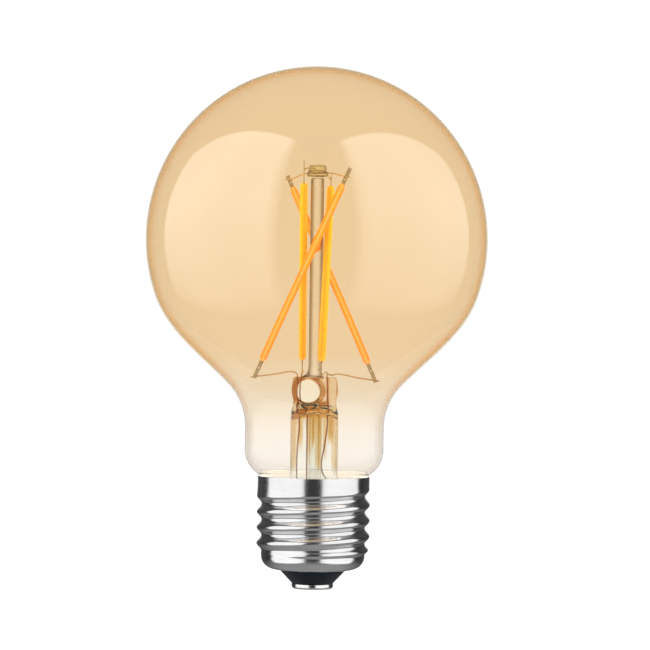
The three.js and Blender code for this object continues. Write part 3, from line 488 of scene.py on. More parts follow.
globe_only = bpy.data.collections.new("globe_only")
globe_only.objects.link(globe)
all_but_globe = bpy.data.collections.new("all_but_globe")
all_but_globe.objects.link(globe)
all_but_globe.collection_objects[0].light_linking.link_state = "EXCLUDE"
for panel in cap_panels:
    panel.light_linking.receiver_collection = all_but_globe
globe_panel("left_globe_panel", -1, 12.0)
globe_panel("right_globe_panel", 1, 11.0)

# %% [markdown]
# ## The screw shell
# The cap's shell is a cup of thin plated sheet that is rolled between dies, which gives it a round screw
# thread in seven turns to the inch. Its radius is a function of angle and height: the base, less the thread's
# depth times a cosine wave of how many turns the point is below the top crest. The wave fades in over the
# first turn and runs out into the turned-in end, as on the rolled part. A second skin 0.3 mm further in gives
# the wall.

# %% The threaded skin
CAP_LENGTH, SHELL_WALL = 26.0, 0.3
SKIRT, CREST, THREAD_DEPTH, PITCH, TOP_CREST = 13.0, 13.15, 1.1, 3.629, 23.1
SHELL_END, END_BEND, SHELL_HOLE = 4.5, 3.1, 7.95


def shell_radius(angle, z):
    """Radius of the shell's outside. The angle runs back from a quarter turn, and z is the height."""
    thread_end = SHELL_END + END_BEND
    below = (TOP_CREST + PITCH * angle / (2 * np.pi) - z) / PITCH
    cut = (1 - np.cos(2 * np.pi * below)) / 2
    fade_in = np.where(below < 1, smooth((np.pi / 2 - angle) / (np.pi / 3)), 1)
    cut = np.where(below < 0, 0, cut * fade_in)
    run_out = smooth((z - thread_end) / (0.5 * PITCH))
    cut = 1 - run_out * (1 - cut)
    base = SKIRT + (CREST - SKIRT) * smooth((TOP_CREST + PITCH / 4 - z) / (0.8 * PITCH))
    in_thread = z < TOP_CREST + PITCH / 4
    straight = np.where(in_thread, base - THREAD_DEPTH * cut, SKIRT)
    dip = np.clip((thread_end - z) / END_BEND, 0, 1)
    bent = CREST - THREAD_DEPTH - END_BEND + END_BEND * np.sqrt(np.maximum(0, 1 - dip**2))
    return np.where(z < thread_end, bent, straight)


print("thread of", PITCH, "mm pitch")

# %% Both skins of the shell
heights = np.concatenate([
    np.linspace(CAP_LENGTH - 0.05, SHELL_END + END_BEND, 118),
    SHELL_END + END_BEND - END_BEND * np.sin(np.radians(np.linspace(0, 90, 16)))[1:],
])
turn = np.pi / 2 - np.linspace(0, 2 * np.pi, 144, endpoint=False)
angle_grid, z_grid = np.meshgrid(turn, heights)
radius_grid = shell_radius(angle_grid, z_grid)


def shell_rings(radius, z):
    """Rings from radii and heights on the same grid of angles."""
    return np.stack([radius * np.cos(angle_grid[: len(z)]), radius * np.sin(angle_grid[: len(z)]), z], -1)


def level_ring(radius, z):
    """One ring of a single radius and height."""
    return np.stack([radius * np.cos(turn), radius * np.sin(turn), np.full(len(turn), z)], -1)[None]


in_bend = smooth((SHELL_END + END_BEND - z_grid) / END_BEND)
outer_skin = shell_rings(radius_grid, z_grid)
inner_skin = shell_rings(radius_grid - SHELL_WALL * (1 - 0.55 * in_bend), z_grid + SHELL_WALL * in_bend)[::-1]
shell_stack = np.concatenate([
    level_ring(SKIRT - 0.05, CAP_LENGTH), outer_skin,
    level_ring(SHELL_HOLE + 0.03, SHELL_END), level_ring(SHELL_HOLE, SHELL_END + 0.15),
    level_ring(SHELL_HOLE + 0.03, SHELL_END + SHELL_WALL), inner_skin,
    level_ring(SKIRT - SHELL_WALL + 0.05, CAP_LENGTH),
])
shell = add_piece("threaded_shell", *skin(shell_stack, wraps=True), "nickel", "screw_shell")

# %% [markdown]
# ## The cement in the skirt
# The glass mouth is held in the skirt by a ring of pale cement that is baked hard. It is seen through the
# neck from a little above, so it gets its own surface: the inner side follows the glass, and the top is a
# hollow where the paste crept up both walls.

# %% Cement ring
cement_inner = np.array([(11.4, 21.6), (11.4, 24.6), (11.5, 25.1), (11.72, 25.5), (12.0, 25.85)])
cement_top = np.stack([np.linspace(12.06, 12.62, 7), 25.78 + 0.17 * (np.linspace(-1, 1, 7)) ** 2], -1)
cement_outer = [(12.67, 25.9), (12.67, 24.1), (12.0, 23.4), (11.6, 21.6)]
cement_outline = np.vstack([cement_inner, cement_top, cement_outer])
cement_ring = add_piece("cement_ring", *carried_round(cement_outline), "cement", "basing_cement")

# %% [markdown]
# ## Plated metal
# The shell is nickel on brass, bright but not a mirror: rolling leaves faint lines round it, and handling
# leaves a slight haze. Noise that is stretched thin in height makes the rolling lines, and a broad noise
# changes the roughness from place to place.

# %% Nickel for the shell
nickel, tree, shader, place = finish("rolled_nickel", Metallic=1.0)
lines_place = node_in(tree, "Mapping", Vector=place, Scale=(0.6, 0.6, 22)).outputs[0]
lines = noise(tree, lines_place, 0.25, 5, 0.7)
haze = noise(tree, place, 0.12, 4)
tint = ramp(tree, haze, (0.3, (0.60, 0.60, 0.61)), (0.7, (0.70, 0.70, 0.705)))
streaks = ramp(tree, lines, (0.35, (0.35, 0.35, 0.36)), (0.65, (0.8, 0.8, 0.8)))
tree.links.new(mixed(tree, 0.12, tint, streaks), shader.inputs["Base Color"])
rough = spread(tree, haze, 0.3, 0.7, 0.15, 0.23)
rough = sums(tree, "ADD", spread(tree, lines, 0.3, 0.7, -0.03, 0.03), rough)
tree.links.new(rough, shader.inputs["Roughness"])
relief(tree, shader, lines, 0.012, 0.35)
shell.data.materials.append(nickel)
print("nickel on", shell.name)

# %% [markdown]
# ## Insulator and contact
# Under the shell a cone of black glass keeps the two poles apart. It is pressed while hot, so its edges are
# round and its skin flows a little. The centre contact is a small plated plate, riveted through it, with a
# shallow ring from its punch. Both are turned outlines with eased corners.

# %% Insulator, contact and their finishes
insulator_outline = eased([(1.25, 1.25), (4.85, 1.25), (7.65, 4.2), (7.65, 5.1), (9.15, 5.1), (9.15, 6.6),
                           (1.25, 6.6), (1.25, 1.25)], 0.22)
# Behind the contact the underside rises to a point halfway up the bore.
insulator_outline[0] = (1.25, 3.0)
insulator_skin = carried_round(insulator_outline[:-1])
insulator = add_piece("black_glass_cone", *insulator_skin, "black_glass", "cap_insulator")
contact_outline = eased([(0, 0.12), (1.1, 0.12), (1.5, 0.0), (2.9, 0.0), (3.05, 0.1), (3.35, 0.1), (3.5, 0.0),
                         (4.5, 0.0), (4.82, 0.4), (4.85, 1.15), (4.6, 1.2), (0.95, 1.2), (0.95, 7.0),
                         (0.55, 7.0), (0.55, 0.9), (0, 0.9)], 0.12)
contact = add_piece("plated_contact", *carried_round(contact_outline, 96), "nickel", "centre_contact")

insulator.data.materials.append(grained(
    "pressed_black_glass", (0.003, 0.005, 0.007), (0.006, 0.009, 0.011), 0.4, 3, (0.12, 0.22), 0.05, 0.3,
    IOR=1.5, Specular_IOR_Level=0.15))
contact.data.materials.append(grained(
    "tinned_contact", (0.62, 0.61, 0.59), (0.78, 0.77, 0.75), 1.5, 5, (0.14, 0.26), 0.006, 0.3, Metallic=1.0))
print("cap finished")

# %% [markdown]
# ## The stem
# The stem is one melted piece of clear glass: a flare that seals the globe, a round tube, and the press,
# which was pinched flat on the hot lead wires. Its rings go from a circle to a flattened oval as the height
# grows. A bubble is blown through the press so that the globe could be pumped out: the front and the back
# are pushed in there, with steep walls round a thin clear window.

# %% The stem's rings
STEM_TOP, STEM_ROOF, TUBE, TUBE_WALL = 49.1, 41.0, 5.55, 0.9
PRESS_WIDTH, PRESS_DEPTH, PRESS_BLEND = 5.2, 2.2, 5.0
FLARE_BOTTOM, TOP_ROUNDING, ROOF_RISE = 20.1, 0.6, 1.9
BUBBLE = dict(x=-1.5, z=45.8, wide=3.05, high=3.05)


def from_bubble(x, z):
    """How far a point is from the middle of the bubble, counted so that the bubble's oval is at 1."""
    return np.hypot((x - BUBBLE["x"]) / BUBBLE["wide"], (z - BUBBLE["z"]) / BUBBLE["high"])


def stem_rings(levels, wall, columns=200):
    """Each ring is an oval: x is the half width times the cosine, and y the half depth times the sine, each
    raised to a power that flattens the sides as the round tube turns into the press."""
    z = levels[:, None]
    angle = np.linspace(0, 2 * np.pi, columns, endpoint=False)[None]
    share = smooth((z - (STEM_ROOF - PRESS_BLEND / 2)) / PRESS_BLEND)
    rise = np.clip((z - FLARE_BOTTOM - 0.9) / 5.1, 0, 1)
    flare = (MOUTH_RADIUS - TUBE) * (1 - rise) ** 2 / (1 + 2.2 * rise)
    wide = TUBE + flare + (PRESS_WIDTH - TUBE) * share - wall
    deep = TUBE + flare + (PRESS_DEPTH - TUBE) * share - wall
    # The press is a little wider at the bubble and narrower at its foot, as pinched glass is.
    wide = wide + 0.22 * share * np.cos((z - 46.2) * 0.95)
    power = 1 / (1 + 0.5 * share)
    c, s = np.cos(angle), np.sin(angle)
    x = wide * np.sign(c) * np.abs(c) ** power
    y = deep * np.sign(s) * np.abs(s) ** power
    return np.stack([x, y, np.broadcast_to(z, x.shape)], -1)


def with_bubble(rings):
    """Push the front and back in round the bubble: half of the depth is kept inside its oval and all of it
    well outside, with a soft lip on the way."""
    x, y, z = np.moveaxis(rings, -1, 0)
    away = from_bubble(x, z)
    keep = 0.52 + 0.48 * smooth((away - 0.88) / 0.42)
    lip = 1 + 0.05 * np.exp(-(((away - 1.35) / 0.12) ** 2))
    in_press = smooth((z - STEM_ROOF - 0.2) / 1.0)
    rings = rings.copy()
    rings[..., 1] = y * (1 + (keep * lip - 1) * in_press)
    return rings


def rounded_off(ring, shrink, lift, steps):
    """Copies of a ring that draw in and rise along a quarter circle: at the angle t each is scaled by one
    less the shrink times 1 - cos t, and lifted by the lift times sin t."""
    t = np.radians(np.linspace(0, 90, steps))[1:-1, None]
    scale = 1 - np.broadcast_to(shrink, 2) * (1 - np.cos(t))
    copies = ring * np.hstack([scale, np.ones_like(t)])[:, None]
    copies[..., 2] += lift * np.sin(t)
    return copies


print("press", 2 * PRESS_WIDTH, "mm wide and", 2 * PRESS_DEPTH, "mm deep")

# %% Stack the stem
flare_levels = np.linspace(FLARE_BOTTOM, 27, 20)
outer_levels = [flare_levels, np.linspace(28, 38, 12), np.linspace(38.4, STEM_TOP - TOP_ROUNDING, 76)]
outer = with_bubble(stem_rings(np.concatenate(outer_levels), 0))
top = rounded_off(outer[-1], (0.12, 0.5), TOP_ROUNDING, 9)
flat = top[-1:] * (0.5, 0.5, 1.0) + (0, 0, 0.01)
inner_levels = [flare_levels, np.linspace(28, STEM_ROOF - ROOF_RISE, 30)]
inner = stem_rings(np.concatenate(inner_levels), TUBE_WALL)[::-1]
roof = rounded_off(inner[0], 1, ROOF_RISE, 8)[::-1]
stem_stack = np.concatenate([roof, inner, outer, top, flat])
stem_points, stem_faces = skin(stem_stack, np.array([0, 0, STEM_ROOF]), np.array([0, 0, STEM_TOP + 0.01]))
print("stem grid", stem_stack.shape)

# %% [markdown]
# ## Where the stem gathers colour
# The melted glass is clear, but thick rolls of it act as lenses and show the amber coat and the copper
# leads as golden and brown bands, which are painted here as reflections: a ring round the bubble, a sweep
# under it, the press's outlines, and fingers that hang down the tube. Their places belong to the glass, so
# they are worked out from each point's place and stored on the mesh for the finish to read.

# %% Gold and brown on the stem
# Each finger's middle, half width, lower end and strength.
FINGERS = [(-5.25, 0.35, 25.5, 0.9), (-4.6, 0.5, 27.0, 0.35), (-3.4, 0.45, 31.0, 0.6), (-1.1, 0.4, 29.5, 0.5),
           (-0.3, 0.4, 31.5, 0.9), (1.1, 0.45, 26.0, 0.85), (2.5, 0.35, 29.0, 0.5), (4.0, 0.65, 32.5, 0.95),
           (5.1, 0.4, 25.5, 0.9)]


def stem_colours(points):
    """Painted reflections. Brown is highest on an oval ring round the bubble, on a curved sweep below it and
    at the outline. Gold fills the right-hand lobe and hangs down the tube in fingers, each a bell curve
    across that fades towards its end. The window is the clear part: the bubble, and the tube between its
    fingers."""
    x, _, z = points.T
    away = from_bubble(x, z)
    in_press = smooth((z - 40.6) / 0.8)
    ring = np.exp(-(np.maximum(0, np.abs(away - 1.10) - 0.12) / 0.09) ** 2)
    sweep_level = 42.2 + 0.22 * x - 0.055 * np.maximum(0, -x - 1) ** 2
    sweep = np.exp(-(np.maximum(0, np.abs(z - sweep_level) - 0.4) / 0.45) ** 2) * smooth((3.6 - x) / 1.0)
    outline = smooth((np.abs(x) - 4.75) / 0.35) * in_press
    lead_line = np.exp(-(((x - 2.85) / 0.28) ** 2)) * in_press
    brown = np.clip(np.maximum.reduce([ring * in_press, sweep, 0.8 * outline, 0.75 * lead_line]), 0, 1)
    lobe = 0.24 * smooth((x - 2.7) / 0.4) * in_press
    left_lobe = 0.12 * smooth((-3.9 - x) / 0.3) * in_press
    fingers = np.maximum.reduce([share * np.exp(-(((x - middle) / wide) ** 2)) * smooth((z - end) / 4.0)
                                 for middle, wide, end, share in FINGERS])
    fingers = np.maximum(fingers, 0.6 * smooth((z - 38.4) / 2.0)) * smooth((42.2 - z) / 0.8)
    gold = np.clip(np.maximum.reduce([lobe, left_lobe, fingers, 0.05 * in_press * (away > 1.1)]), 0, 1)
    window = smooth((0.93 - away) / 0.12) * in_press
    clear_tube = 0.8 * smooth((39.5 - z) / 3.0) * np.clip(1 - 2.5 * gold, 0, 1)
    return dict(brown=brown * (1 - window), gold=gold * (1 - window), window=np.maximum(window, clear_tube),
                outside=1)


inner_count = (len(roof) + len(inner)) * stem_stack.shape[1]
outside = np.arange(len(stem_points)) >= inner_count
stem_paint = {key: values * outside for key, values in stem_colours(stem_points).items()}
stem = add_piece("pressed_stem", stem_points, stem_faces, "clear_glass", "stem_tube", stem_paint)

# %% [markdown]
# ## Exhaust tube, post and button
# The thin exhaust tube hangs inside the stem and was pinched off when the globe was sealed, so it ends in a
# small solid tip. A solid glass rod, the post, stands on the press: it was fused on, so its foot spreads.
# The button is the flanged glass bead at its top, which was squeezed round the support wires and keeps the
# marks of the pliers as rings.

# %% Turned glass
BUTTON_BOTTOM = 95.15

exhaust_outline = eased([(0, 17.3), (0.5, 17.35), (1.25, 18.6), (1.75, 20.3), (1.75, 40.75), (1.05, 40.75),
                         (1.05, 20.9), (0, 19.2)], 0.8, 8)
exhaust = add_piece("exhaust_glass", *carried_round(exhaust_outline, 64), "clear_glass", "exhaust_tube")
button_outline = eased([(0, BUTTON_BOTTOM), (1.75, BUTTON_BOTTOM), (2.45, 95.35), (2.52, 96.2), (2.1, 96.55),
                        (2.0, 96.8), (2.12, 97.0), (2.1, 97.35), (1.95, 97.5), (2.05, 97.72), (1.7, 97.95),
                        (0.9, 97.9), (0, 97.75)], 0.28)
button = add_piece("pressed_button", *carried_round(button_outline, 72), "clear_glass", "post_button")

# %% The post and its foot
POST_RADIUS, POST_FOOT, POST_SHOULDER, POST_TOP = 1.55, 49.05, 94.5, 94.95


def post_rings(levels, columns=96):
    """The rod with its fused foot: the radius grows by a falling exponential of the height above the press,
    more to the left than to the right, and the foot is kept inside the press's depth."""
    z = levels[:, None]
    angle = np.linspace(0, 2 * np.pi, columns, endpoint=False)[None]
    foot = np.exp(-(z - POST_FOOT) / 0.55)
    leftwards = 0.5 - 0.5 * np.cos(angle)
    x = (POST_RADIUS + foot * (0.55 + 1.5 * leftwards)) * np.cos(angle)
    y = (POST_RADIUS + 0.35 * foot) * np.sin(angle)
    return np.stack([x, y, np.broadcast_to(z, x.shape)], -1)


post_body = post_rings(np.concatenate([np.linspace(POST_FOOT, 53, 36), np.linspace(54, POST_SHOULDER, 30)]))
post_stack = np.concatenate([post_body, rounded_off(post_body[-1], 0.2, 0.4, 7)])
post_skin = skin(post_stack, np.array([0, 0, POST_FOOT]), np.array([0, 0, POST_TOP]))
post = add_piece("glass_post", *post_skin, "clear_glass", "centre_post")

# %% [markdown]
# ## Clear glass that carries the amber
# All this glass is clear, yet none of it looks white: edges gather what is around them, which is amber
# coat, orange coats and copper-coloured wire above, and grey cap below. So a painted reflection of them, a
# tint, is made to grow towards a piece's edges with Layer Weight, golden-brown in the press and the roots of
# the tube, and grey-green further down. The faces that look straight at you stay clear. On the stem the
# stored gold and brown, painted reflections as well, are multiplied in, golden where their amount is small
# and brown where it is full, and only on the outer side. Its index is low, 1.3, because a higher one traps
# light in the press and leaves black patches.

# %% Glass with tinted edges


def painted_edge_glass(piece, name, low, high, centre, edges, start, stop, paint=None, index=1.48):
    """Clear glass with a painted reflection, a tint that grows with slant. Centre and edges are stops over
    heights low to high. Paint names stored attributes of painted reflection, each with the colour for half
    and for the full amount."""
    material, tree, shader, place = finish(name, Roughness=0.0, IOR=index)
    shader.inputs["Transmission Weight"].default_value = 1.0
    wander = spread(tree, noise(tree, place, 0.3, 3), 0.3, 0.7, -1.2, 1.2)
    level = spread(tree, sums(tree, "ADD", height_mm(tree, place), wander), low, high)
    slant = node_in(tree, "LayerWeight", Blend=0.5).outputs["Facing"]
    share = spread(tree, slant, start, stop)
    if paint:
        share = sums(tree, "MULTIPLY", share, stored_value(tree, "outside"))
    face_on = ramp(tree, level, *centre)
    for attribute, (thin, thick) in (paint or {}).items():
        streaks = node_in(tree, "Mapping", Vector=place, Scale=(1, 1, 0.18)).outputs[0]
        patchy = spread(tree, noise(tree, streaks, 1.3, 3), 0.35, 0.65, 0.82, 1.0)
        amount = sums(tree, "MULTIPLY", stored_value(tree, attribute), patchy)
        # Painted reflection: each stored band darkens the face-on colour.
        painted_band = ramp(tree, amount, (0.0, (1, 1, 1)), (0.5, thin), (1.0, thick))
        face_on = mixed(tree, 1.0, face_on, painted_band, "MULTIPLY")
    # The edge colour is a painted reflection of what surrounds the glass.
    tree.links.new(mixed(tree, share, face_on, ramp(tree, level, *edges)), shader.inputs["Base Color"])
    piece.data.materials.append(material)
    print(name, "on", piece.name)
    return tree, shader


painted_edge_glass(exhaust, "exhaust_glass", 20, 42,
            [(0.0, (0.96, 0.97, 0.95)), (0.6, (0.97, 0.96, 0.90)), (1.0, (0.97, 0.86, 0.62))],
            [(0.0, (0.38, 0.44, 0.42)), (0.6, (0.52, 0.50, 0.36)), (1.0, (0.62, 0.42, 0.18))], 0.25, 0.7)
painted_edge_glass(post, "post_glass", 48, 98, [(0.0, (0.985, 0.975, 0.95)), (1.0, (0.99, 0.98, 0.95))],
            [(0.0, (0.36, 0.30, 0.20)), (1.0, (0.32, 0.24, 0.12))], 0.02, 0.26)
painted_edge_glass(button, "button_glass", 94, 99, [(0.0, (0.84, 0.76, 0.48)), (1.0, (0.90, 0.84, 0.58))],
            [(0.0, (0.34, 0.26, 0.09)), (1.0, (0.26, 0.19, 0.06))], 0.12, 0.6)

# %% [markdown]
# ## The stem's own glass
# The stem has the stored gold and brown as well. Its window and the gaps between the fingers get a very
# faint cool glow, painted light that stands for the white room that real clear glass would let through
# undimmed.

# %% Stem glass
# Gold and brown are painted reflections of the amber coat and the copper leads.
STEM_PAINTED_REFLECTIONS = {"gold": ((0.84, 0.58, 0.20), (0.56, 0.28, 0.05)),
               "brown": ((0.76, 0.46, 0.20), (0.46, 0.20, 0.05))}

tree, shader = painted_edge_glass(
    stem, "stem_glass", 20, 50,
    [(0.0, (0.97, 0.975, 0.97)), (0.5, (0.985, 0.97, 0.93)), (1.0, (0.985, 0.95, 0.88))],
    [(0.0, (0.24, 0.26, 0.25)), (0.42, (0.38, 0.31, 0.18)), (0.60, (0.60, 0.36, 0.13)),
     (1.0, (0.56, 0.31, 0.13))],
    0.35, 0.8, STEM_PAINTED_REFLECTIONS, 1.3)
# Painted light: a faint cool glow in the window and between the fingers.
glow = spread(tree, stored_value(tree, "window"), 0.0, 1.0, 0.0, 0.10)
tree.links.new(glow, shader.inputs["Emission Strength"])
shader.inputs["Emission Color"].default_value = (0.45, 0.8, 1.0, 1)

# %% [markdown]
# ## Where each filament hangs
# The four filaments are the same part, turned by a quarter each time round the post. Each leans from a wide
# foot to a narrow head, so that in pairs they cross. Three directions belong to each: up its length, out
# from the post, and across its width. Every later piece of a filament is drawn in those directions.

# %% Filament directions
COAT_LENGTH, HEAD_REACH, FOOT_REACH = 44.7, 5.85, 12.3
HEAD_OFFSET, FOOT_LEVEL = 3.1, 52.7
# How far each is turned, moved in and lowered, how far past its ends the welds are, and the foot weld's side.
FILAMENTS = {
    "warm_front": dict(turn=0, inset=0.5, drop=0.1, head_weld=2.0, foot_weld=3.9, side=-1),
    "cool_left": dict(turn=-90, inset=0, drop=0, head_weld=3.3, foot_weld=3.0, side=-1),
    "warm_rear": dict(turn=180, inset=0.5, drop=0.6, head_weld=2.0, foot_weld=4.1, side=-1),
    "cool_right": dict(turn=90, inset=1.6, drop=0, head_weld=1.9, foot_weld=3.1, side=1),
}


def unit(v):
    """The same direction, one long."""
    v = np.array(v, float)
    return v / np.linalg.norm(v)


def hang(row):
    """Foot and head of a filament and its three directions, turned about the lamp's axis."""
    a = math.radians(row["turn"])
    spin = np.array([[math.cos(a), -math.sin(a), 0], [math.sin(a), math.cos(a), 0], [0, 0, 1]])
    foot = np.array([-FOOT_REACH, row["inset"] - HEAD_OFFSET, FOOT_LEVEL - row["drop"]])
    rise = math.sqrt(COAT_LENGTH**2 - (HEAD_REACH + FOOT_REACH) ** 2 - row["inset"] ** 2)
    head = np.array([HEAD_REACH, -HEAD_OFFSET, foot[2] + rise])
    foot, head = spin @ foot, spin @ head
    up = unit(head - foot)
    out = spin @ (0, -1, 0)
    out = unit(out - up * (out @ up))
    return dict(row, foot=foot, head=head, up=up, out=out, across=np.cross(out, up))


hung = {name: hang(row) for name, row in FILAMENTS.items()}
for name, place_of in hung.items():
    print(name, "foot", np.round(place_of["foot"], 2), "head", np.round(place_of["head"], 2))

# %% [markdown]
# ## Phosphor coats
# Each filament is a thin metal strip that carries a row of tiny chips. A silicone coat full of phosphor
# powder is laid over both faces as a bead, so its section is half an oval and its ends are round. The bead
# is never quite even: it swells a little from chip to chip. One function gives the section at any place
# along the strip, and it also stores how far along and how far across each point is, for the finish.

# %% The coat's beads
COAT_WIDTH, COAT_RISE, END_LENGTH, CHIP_PITCH = 1.65, 0.89, 1.1, 1.55


def coat_bead(frame_of, face, columns=22, stations=150):
    """Half an oval: out from the strip by the rise times the sine, and across by half the width times the
    cosine. Both shrink towards the ends as a circle does, and swell by a hundredth at each chip."""
    ends = END_LENGTH * (1 - np.cos(np.radians(np.linspace(0, 90, 14))))
    middle = np.linspace(END_LENGTH, COAT_LENGTH - END_LENGTH, stations)[1:-1]
    along = np.concatenate([ends, middle, COAT_LENGTH - ends[::-1]])
    from_end = np.minimum(np.minimum(along, COAT_LENGTH - along), END_LENGTH)
    full = np.sqrt(1 - 0.93 * (1 - from_end / END_LENGTH) ** 2)
    full = full * (1 + 0.010 * np.cos(2 * np.pi * along / CHIP_PITCH)) * 0.99
    angle = np.concatenate([np.linspace(0, np.pi, columns), np.linspace(np.pi, 2 * np.pi, 8)[1:-1]])
    across = np.outer(full, np.cos(angle))
    out = face * (0.012 + np.outer(full, np.maximum(np.sin(angle), 0)) * COAT_RISE)
    points = (frame_of["foot"] + along[:, None, None] * frame_of["up"] + out[..., None] * frame_of["out"]
              + across[..., None] * COAT_WIDTH / 2 * frame_of["across"])
    return points, dict(along=np.broadcast_to(along[:, None], across.shape), across=across)


def add_coat(filament, face, label):
    """Skin one bead, with its ends closed by a fan at the middle of each end ring."""
    rings, facts = coat_bead(hung[filament], face)
    poles = [rings[0].mean(0), rings[-1].mean(0)]
    points, faces = skin(rings, *poles)
    stored = {key: np.append(values.ravel(), [values[0].mean(), values[-1].mean()])
              for key, values in facts.items()}
    name, slot_name = f"{filament}_{label}_bead", filament.split("_")[0] + "_phosphor"
    return add_piece(name, points, faces, slot_name, f"{filament}_filament_{label}_coat", stored)


coats = {(name, label): add_coat(name, face, label)
         for name in FILAMENTS for face, label in ((1, "outer"), (-1, "inner"))}

# %% [markdown]
# ## Two phosphors
# The warm pair is orange and the cool pair is lemon yellow, and each bead is deeper in colour at its edges,
# where one looks through more of it, with a paler streak down the middle that is a painted highlight. A fine
# grain of powder and a slight change along the length keep it alive. The cool pair's inner beads, which face
# the post, get a deeper copy of their phosphor as painted shade. The beads glow of their own colour: partly
# because phosphor turns part of the daylight that falls on it into its own, and partly as painted light.

# %% Phosphor finishes


def phosphor(name, edge, body, streak, glow):
    """A bead's colour over its width, with a painted highlight down the middle, powder grain, and small
    lighter patches over the chips.
    """
    material, tree, shader, place = finish(name, Roughness=0.42, IOR=1.42)
    off_middle = sums(tree, "ABSOLUTE", stored_value(tree, "across"), 0.0)
    powder = noise(tree, place, 6.0, 3)
    patch = noise(tree, place, 0.35, 3)
    where = sums(tree, "ADD", off_middle, spread(tree, patch, 0.3, 0.7, -0.07, 0.07))
    colour = ramp(tree, where, (0.0, streak), (0.22, streak), (0.42, body), (0.8, body), (1.0, edge))
    turns = sums(tree, "MULTIPLY", stored_value(tree, "along"), 2 * math.pi / CHIP_PITCH)
    chips = sums(tree, "MULTIPLY", sums(tree, "SINE", turns, 0.0), 0.02)
    grainy = sums(tree, "ADD", spread(tree, powder, 0.3, 0.7, 0.90, 1.04), chips)
    shade = node_in(tree, "CombineColor", Red=grainy, Green=grainy, Blue=grainy).outputs[0]
    final = mixed(tree, 1.0, colour, shade, "MULTIPLY")
    tree.links.new(final, shader.inputs["Base Color"])
    # The emission is partly the phosphor's own fluorescence and partly painted light.
    tree.links.new(final, shader.inputs["Emission Color"])
    shader.inputs["Emission Strength"].default_value = glow
    relief(tree, shader, powder, 0.03, 0.3)
    return material


# Each phosphor's third colour is its painted highlight down the middle of the bead.
warm = phosphor("warm_phosphor", (1.0, 0.28, 0.012), (1.0, 0.36, 0.03), (1.0, 0.50, 0.14), 0.55)
cool_bright = phosphor("cool_phosphor", (1.0, 0.55, 0.02), (1.0, 0.64, 0.04), (1.0, 0.72, 0.18), 0.44)
# A deeper copy of the cool phosphor is painted shade for the inner beads, which face the post.
cool_shaded = phosphor("cool_phosphor_painted_shade", (1.0, 0.44, 0.03), (1.0, 0.54, 0.04), (1.0, 0.62, 0.12), 0.42)
for (filament, label), coat_piece in coats.items():
    # Inner cool beads take the painted-shade copy.
    cool = cool_shaded if label == "inner" else cool_bright
    coat_piece.data.materials.append(warm if filament.startswith("warm") else cool)
print("phosphor on", len(coats), "beads")

# %% [markdown]
# ## Wires
# Support wires and leads are round, soft wire, bent by hand tools. A smooth curve is laid through a few
# known points, and a circle is carried along it. The circle's first direction is the one that the wire
# turns least towards, which keeps it from twisting. The wire's cut ends are rounded off with a dome.

# %% A smooth path


def smooth_path(points, stations):
    """A centripetal Catmull-Rom curve: between each pair of points a cubic whose end slopes come from the
    neighbours, weighted by the root of their distance. The stations are then spaced evenly."""
    p = np.array(points, float)
    p = np.vstack([2 * p[0] - p[1], p, 2 * p[-1] - p[-2]])
    gap = np.maximum(np.linalg.norm(np.diff(p, axis=0), axis=1) ** 0.5, 1e-4)[:, None]
    a, b, c, d = p[:-3], p[1:-2], p[2:-1], p[3:]
    g0, g1, g2 = gap[:-2], gap[1:-1], gap[2:]
    leave = ((b - a) / g0 - (c - a) / (g0 + g1) + (c - b) / g1) * g1
    arrive = ((c - b) / g1 - (d - b) / (g1 + g2) + (d - c) / g2) * g1
    t = np.linspace(0, 1, 40, endpoint=False)[None, :, None]
    b, c, leave, arrive = (v[:, None] for v in (b, c, leave, arrive))
    curve = (2 * t**3 - 3 * t**2 + 1) * b + (3 * t**2 - 2 * t**3) * c
    curve = curve + (t**3 - 2 * t**2 + t) * leave + (t**3 - t**2) * arrive
    curve = np.vstack([curve.reshape(-1, 3), p[-2]])
    run = np.append(0, np.cumsum(np.linalg.norm(np.diff(curve, axis=0), axis=1)))
    s = np.linspace(0, run[-1], stations)
    return np.stack([np.interp(s, run, curve[:, n]) for n in range(3)], -1)


print("paths ready")

# %% A skin along the path


def wire_rings(path, radius, sides=14):
    """Circles square to the path. The end stations are repeated on a quarter circle to make a dome."""
    way = np.gradient(path, axis=0)
    way /= np.linalg.norm(way, axis=1, keepdims=True)
    least = np.linalg.svd(way, full_matrices=False)[2][-1]
    first = least - way * (way @ least)[:, None]
    first /= np.linalg.norm(first, axis=1, keepdims=True)
    second = np.cross(way, first)
    dome = np.radians(np.linspace(0, 80, 5))[1:, None]
    size = radius * np.concatenate([np.cos(dome)[::-1], np.ones((len(path), 1)), np.cos(dome)])[:, None]
    bulge = 0.6 * radius * np.sin(dome)
    path = np.vstack([path[0] - way[0] * bulge[::-1], path, path[-1] + way[-1] * bulge])
    first, second = (np.pad(v, ((len(dome), len(dome)), (0, 0)), "edge") for v in (first, second))
    angle = np.linspace(0, 2 * np.pi, sides, endpoint=False)[None, :, None]
    return path[:, None] + size * (np.cos(angle) * first[:, None] + np.sin(angle) * second[:, None])


def add_wire(name, points, radius, slot, node, stations=120):
    """Skin a wire and close both of its ends."""
    rings = wire_rings(smooth_path(points, stations), radius)
    return add_piece(name, *skin(rings, rings[0].mean(0), rings[-1].mean(0)), slot, node)


def weld(filament, end, radius):
    """Where a wire is welded to a tab: a tip past the weld, the weld itself, and a point on the way in."""
    row = hung[filament]
    way, face = (1, -1) if end == "head" else (-1, row["side"])
    start, past = row[end], row[end + "_weld"]
    level = unit([row["up"][0], row["up"][1], 0]) * way
    spot = start + row["up"] * way * past + row["out"] * face * (0.1 + radius + 0.02)
    return [spot + level * 0.9 - (0, 0, 0.2), spot, spot - level * 0.9 + (0, 0, 0.1)]


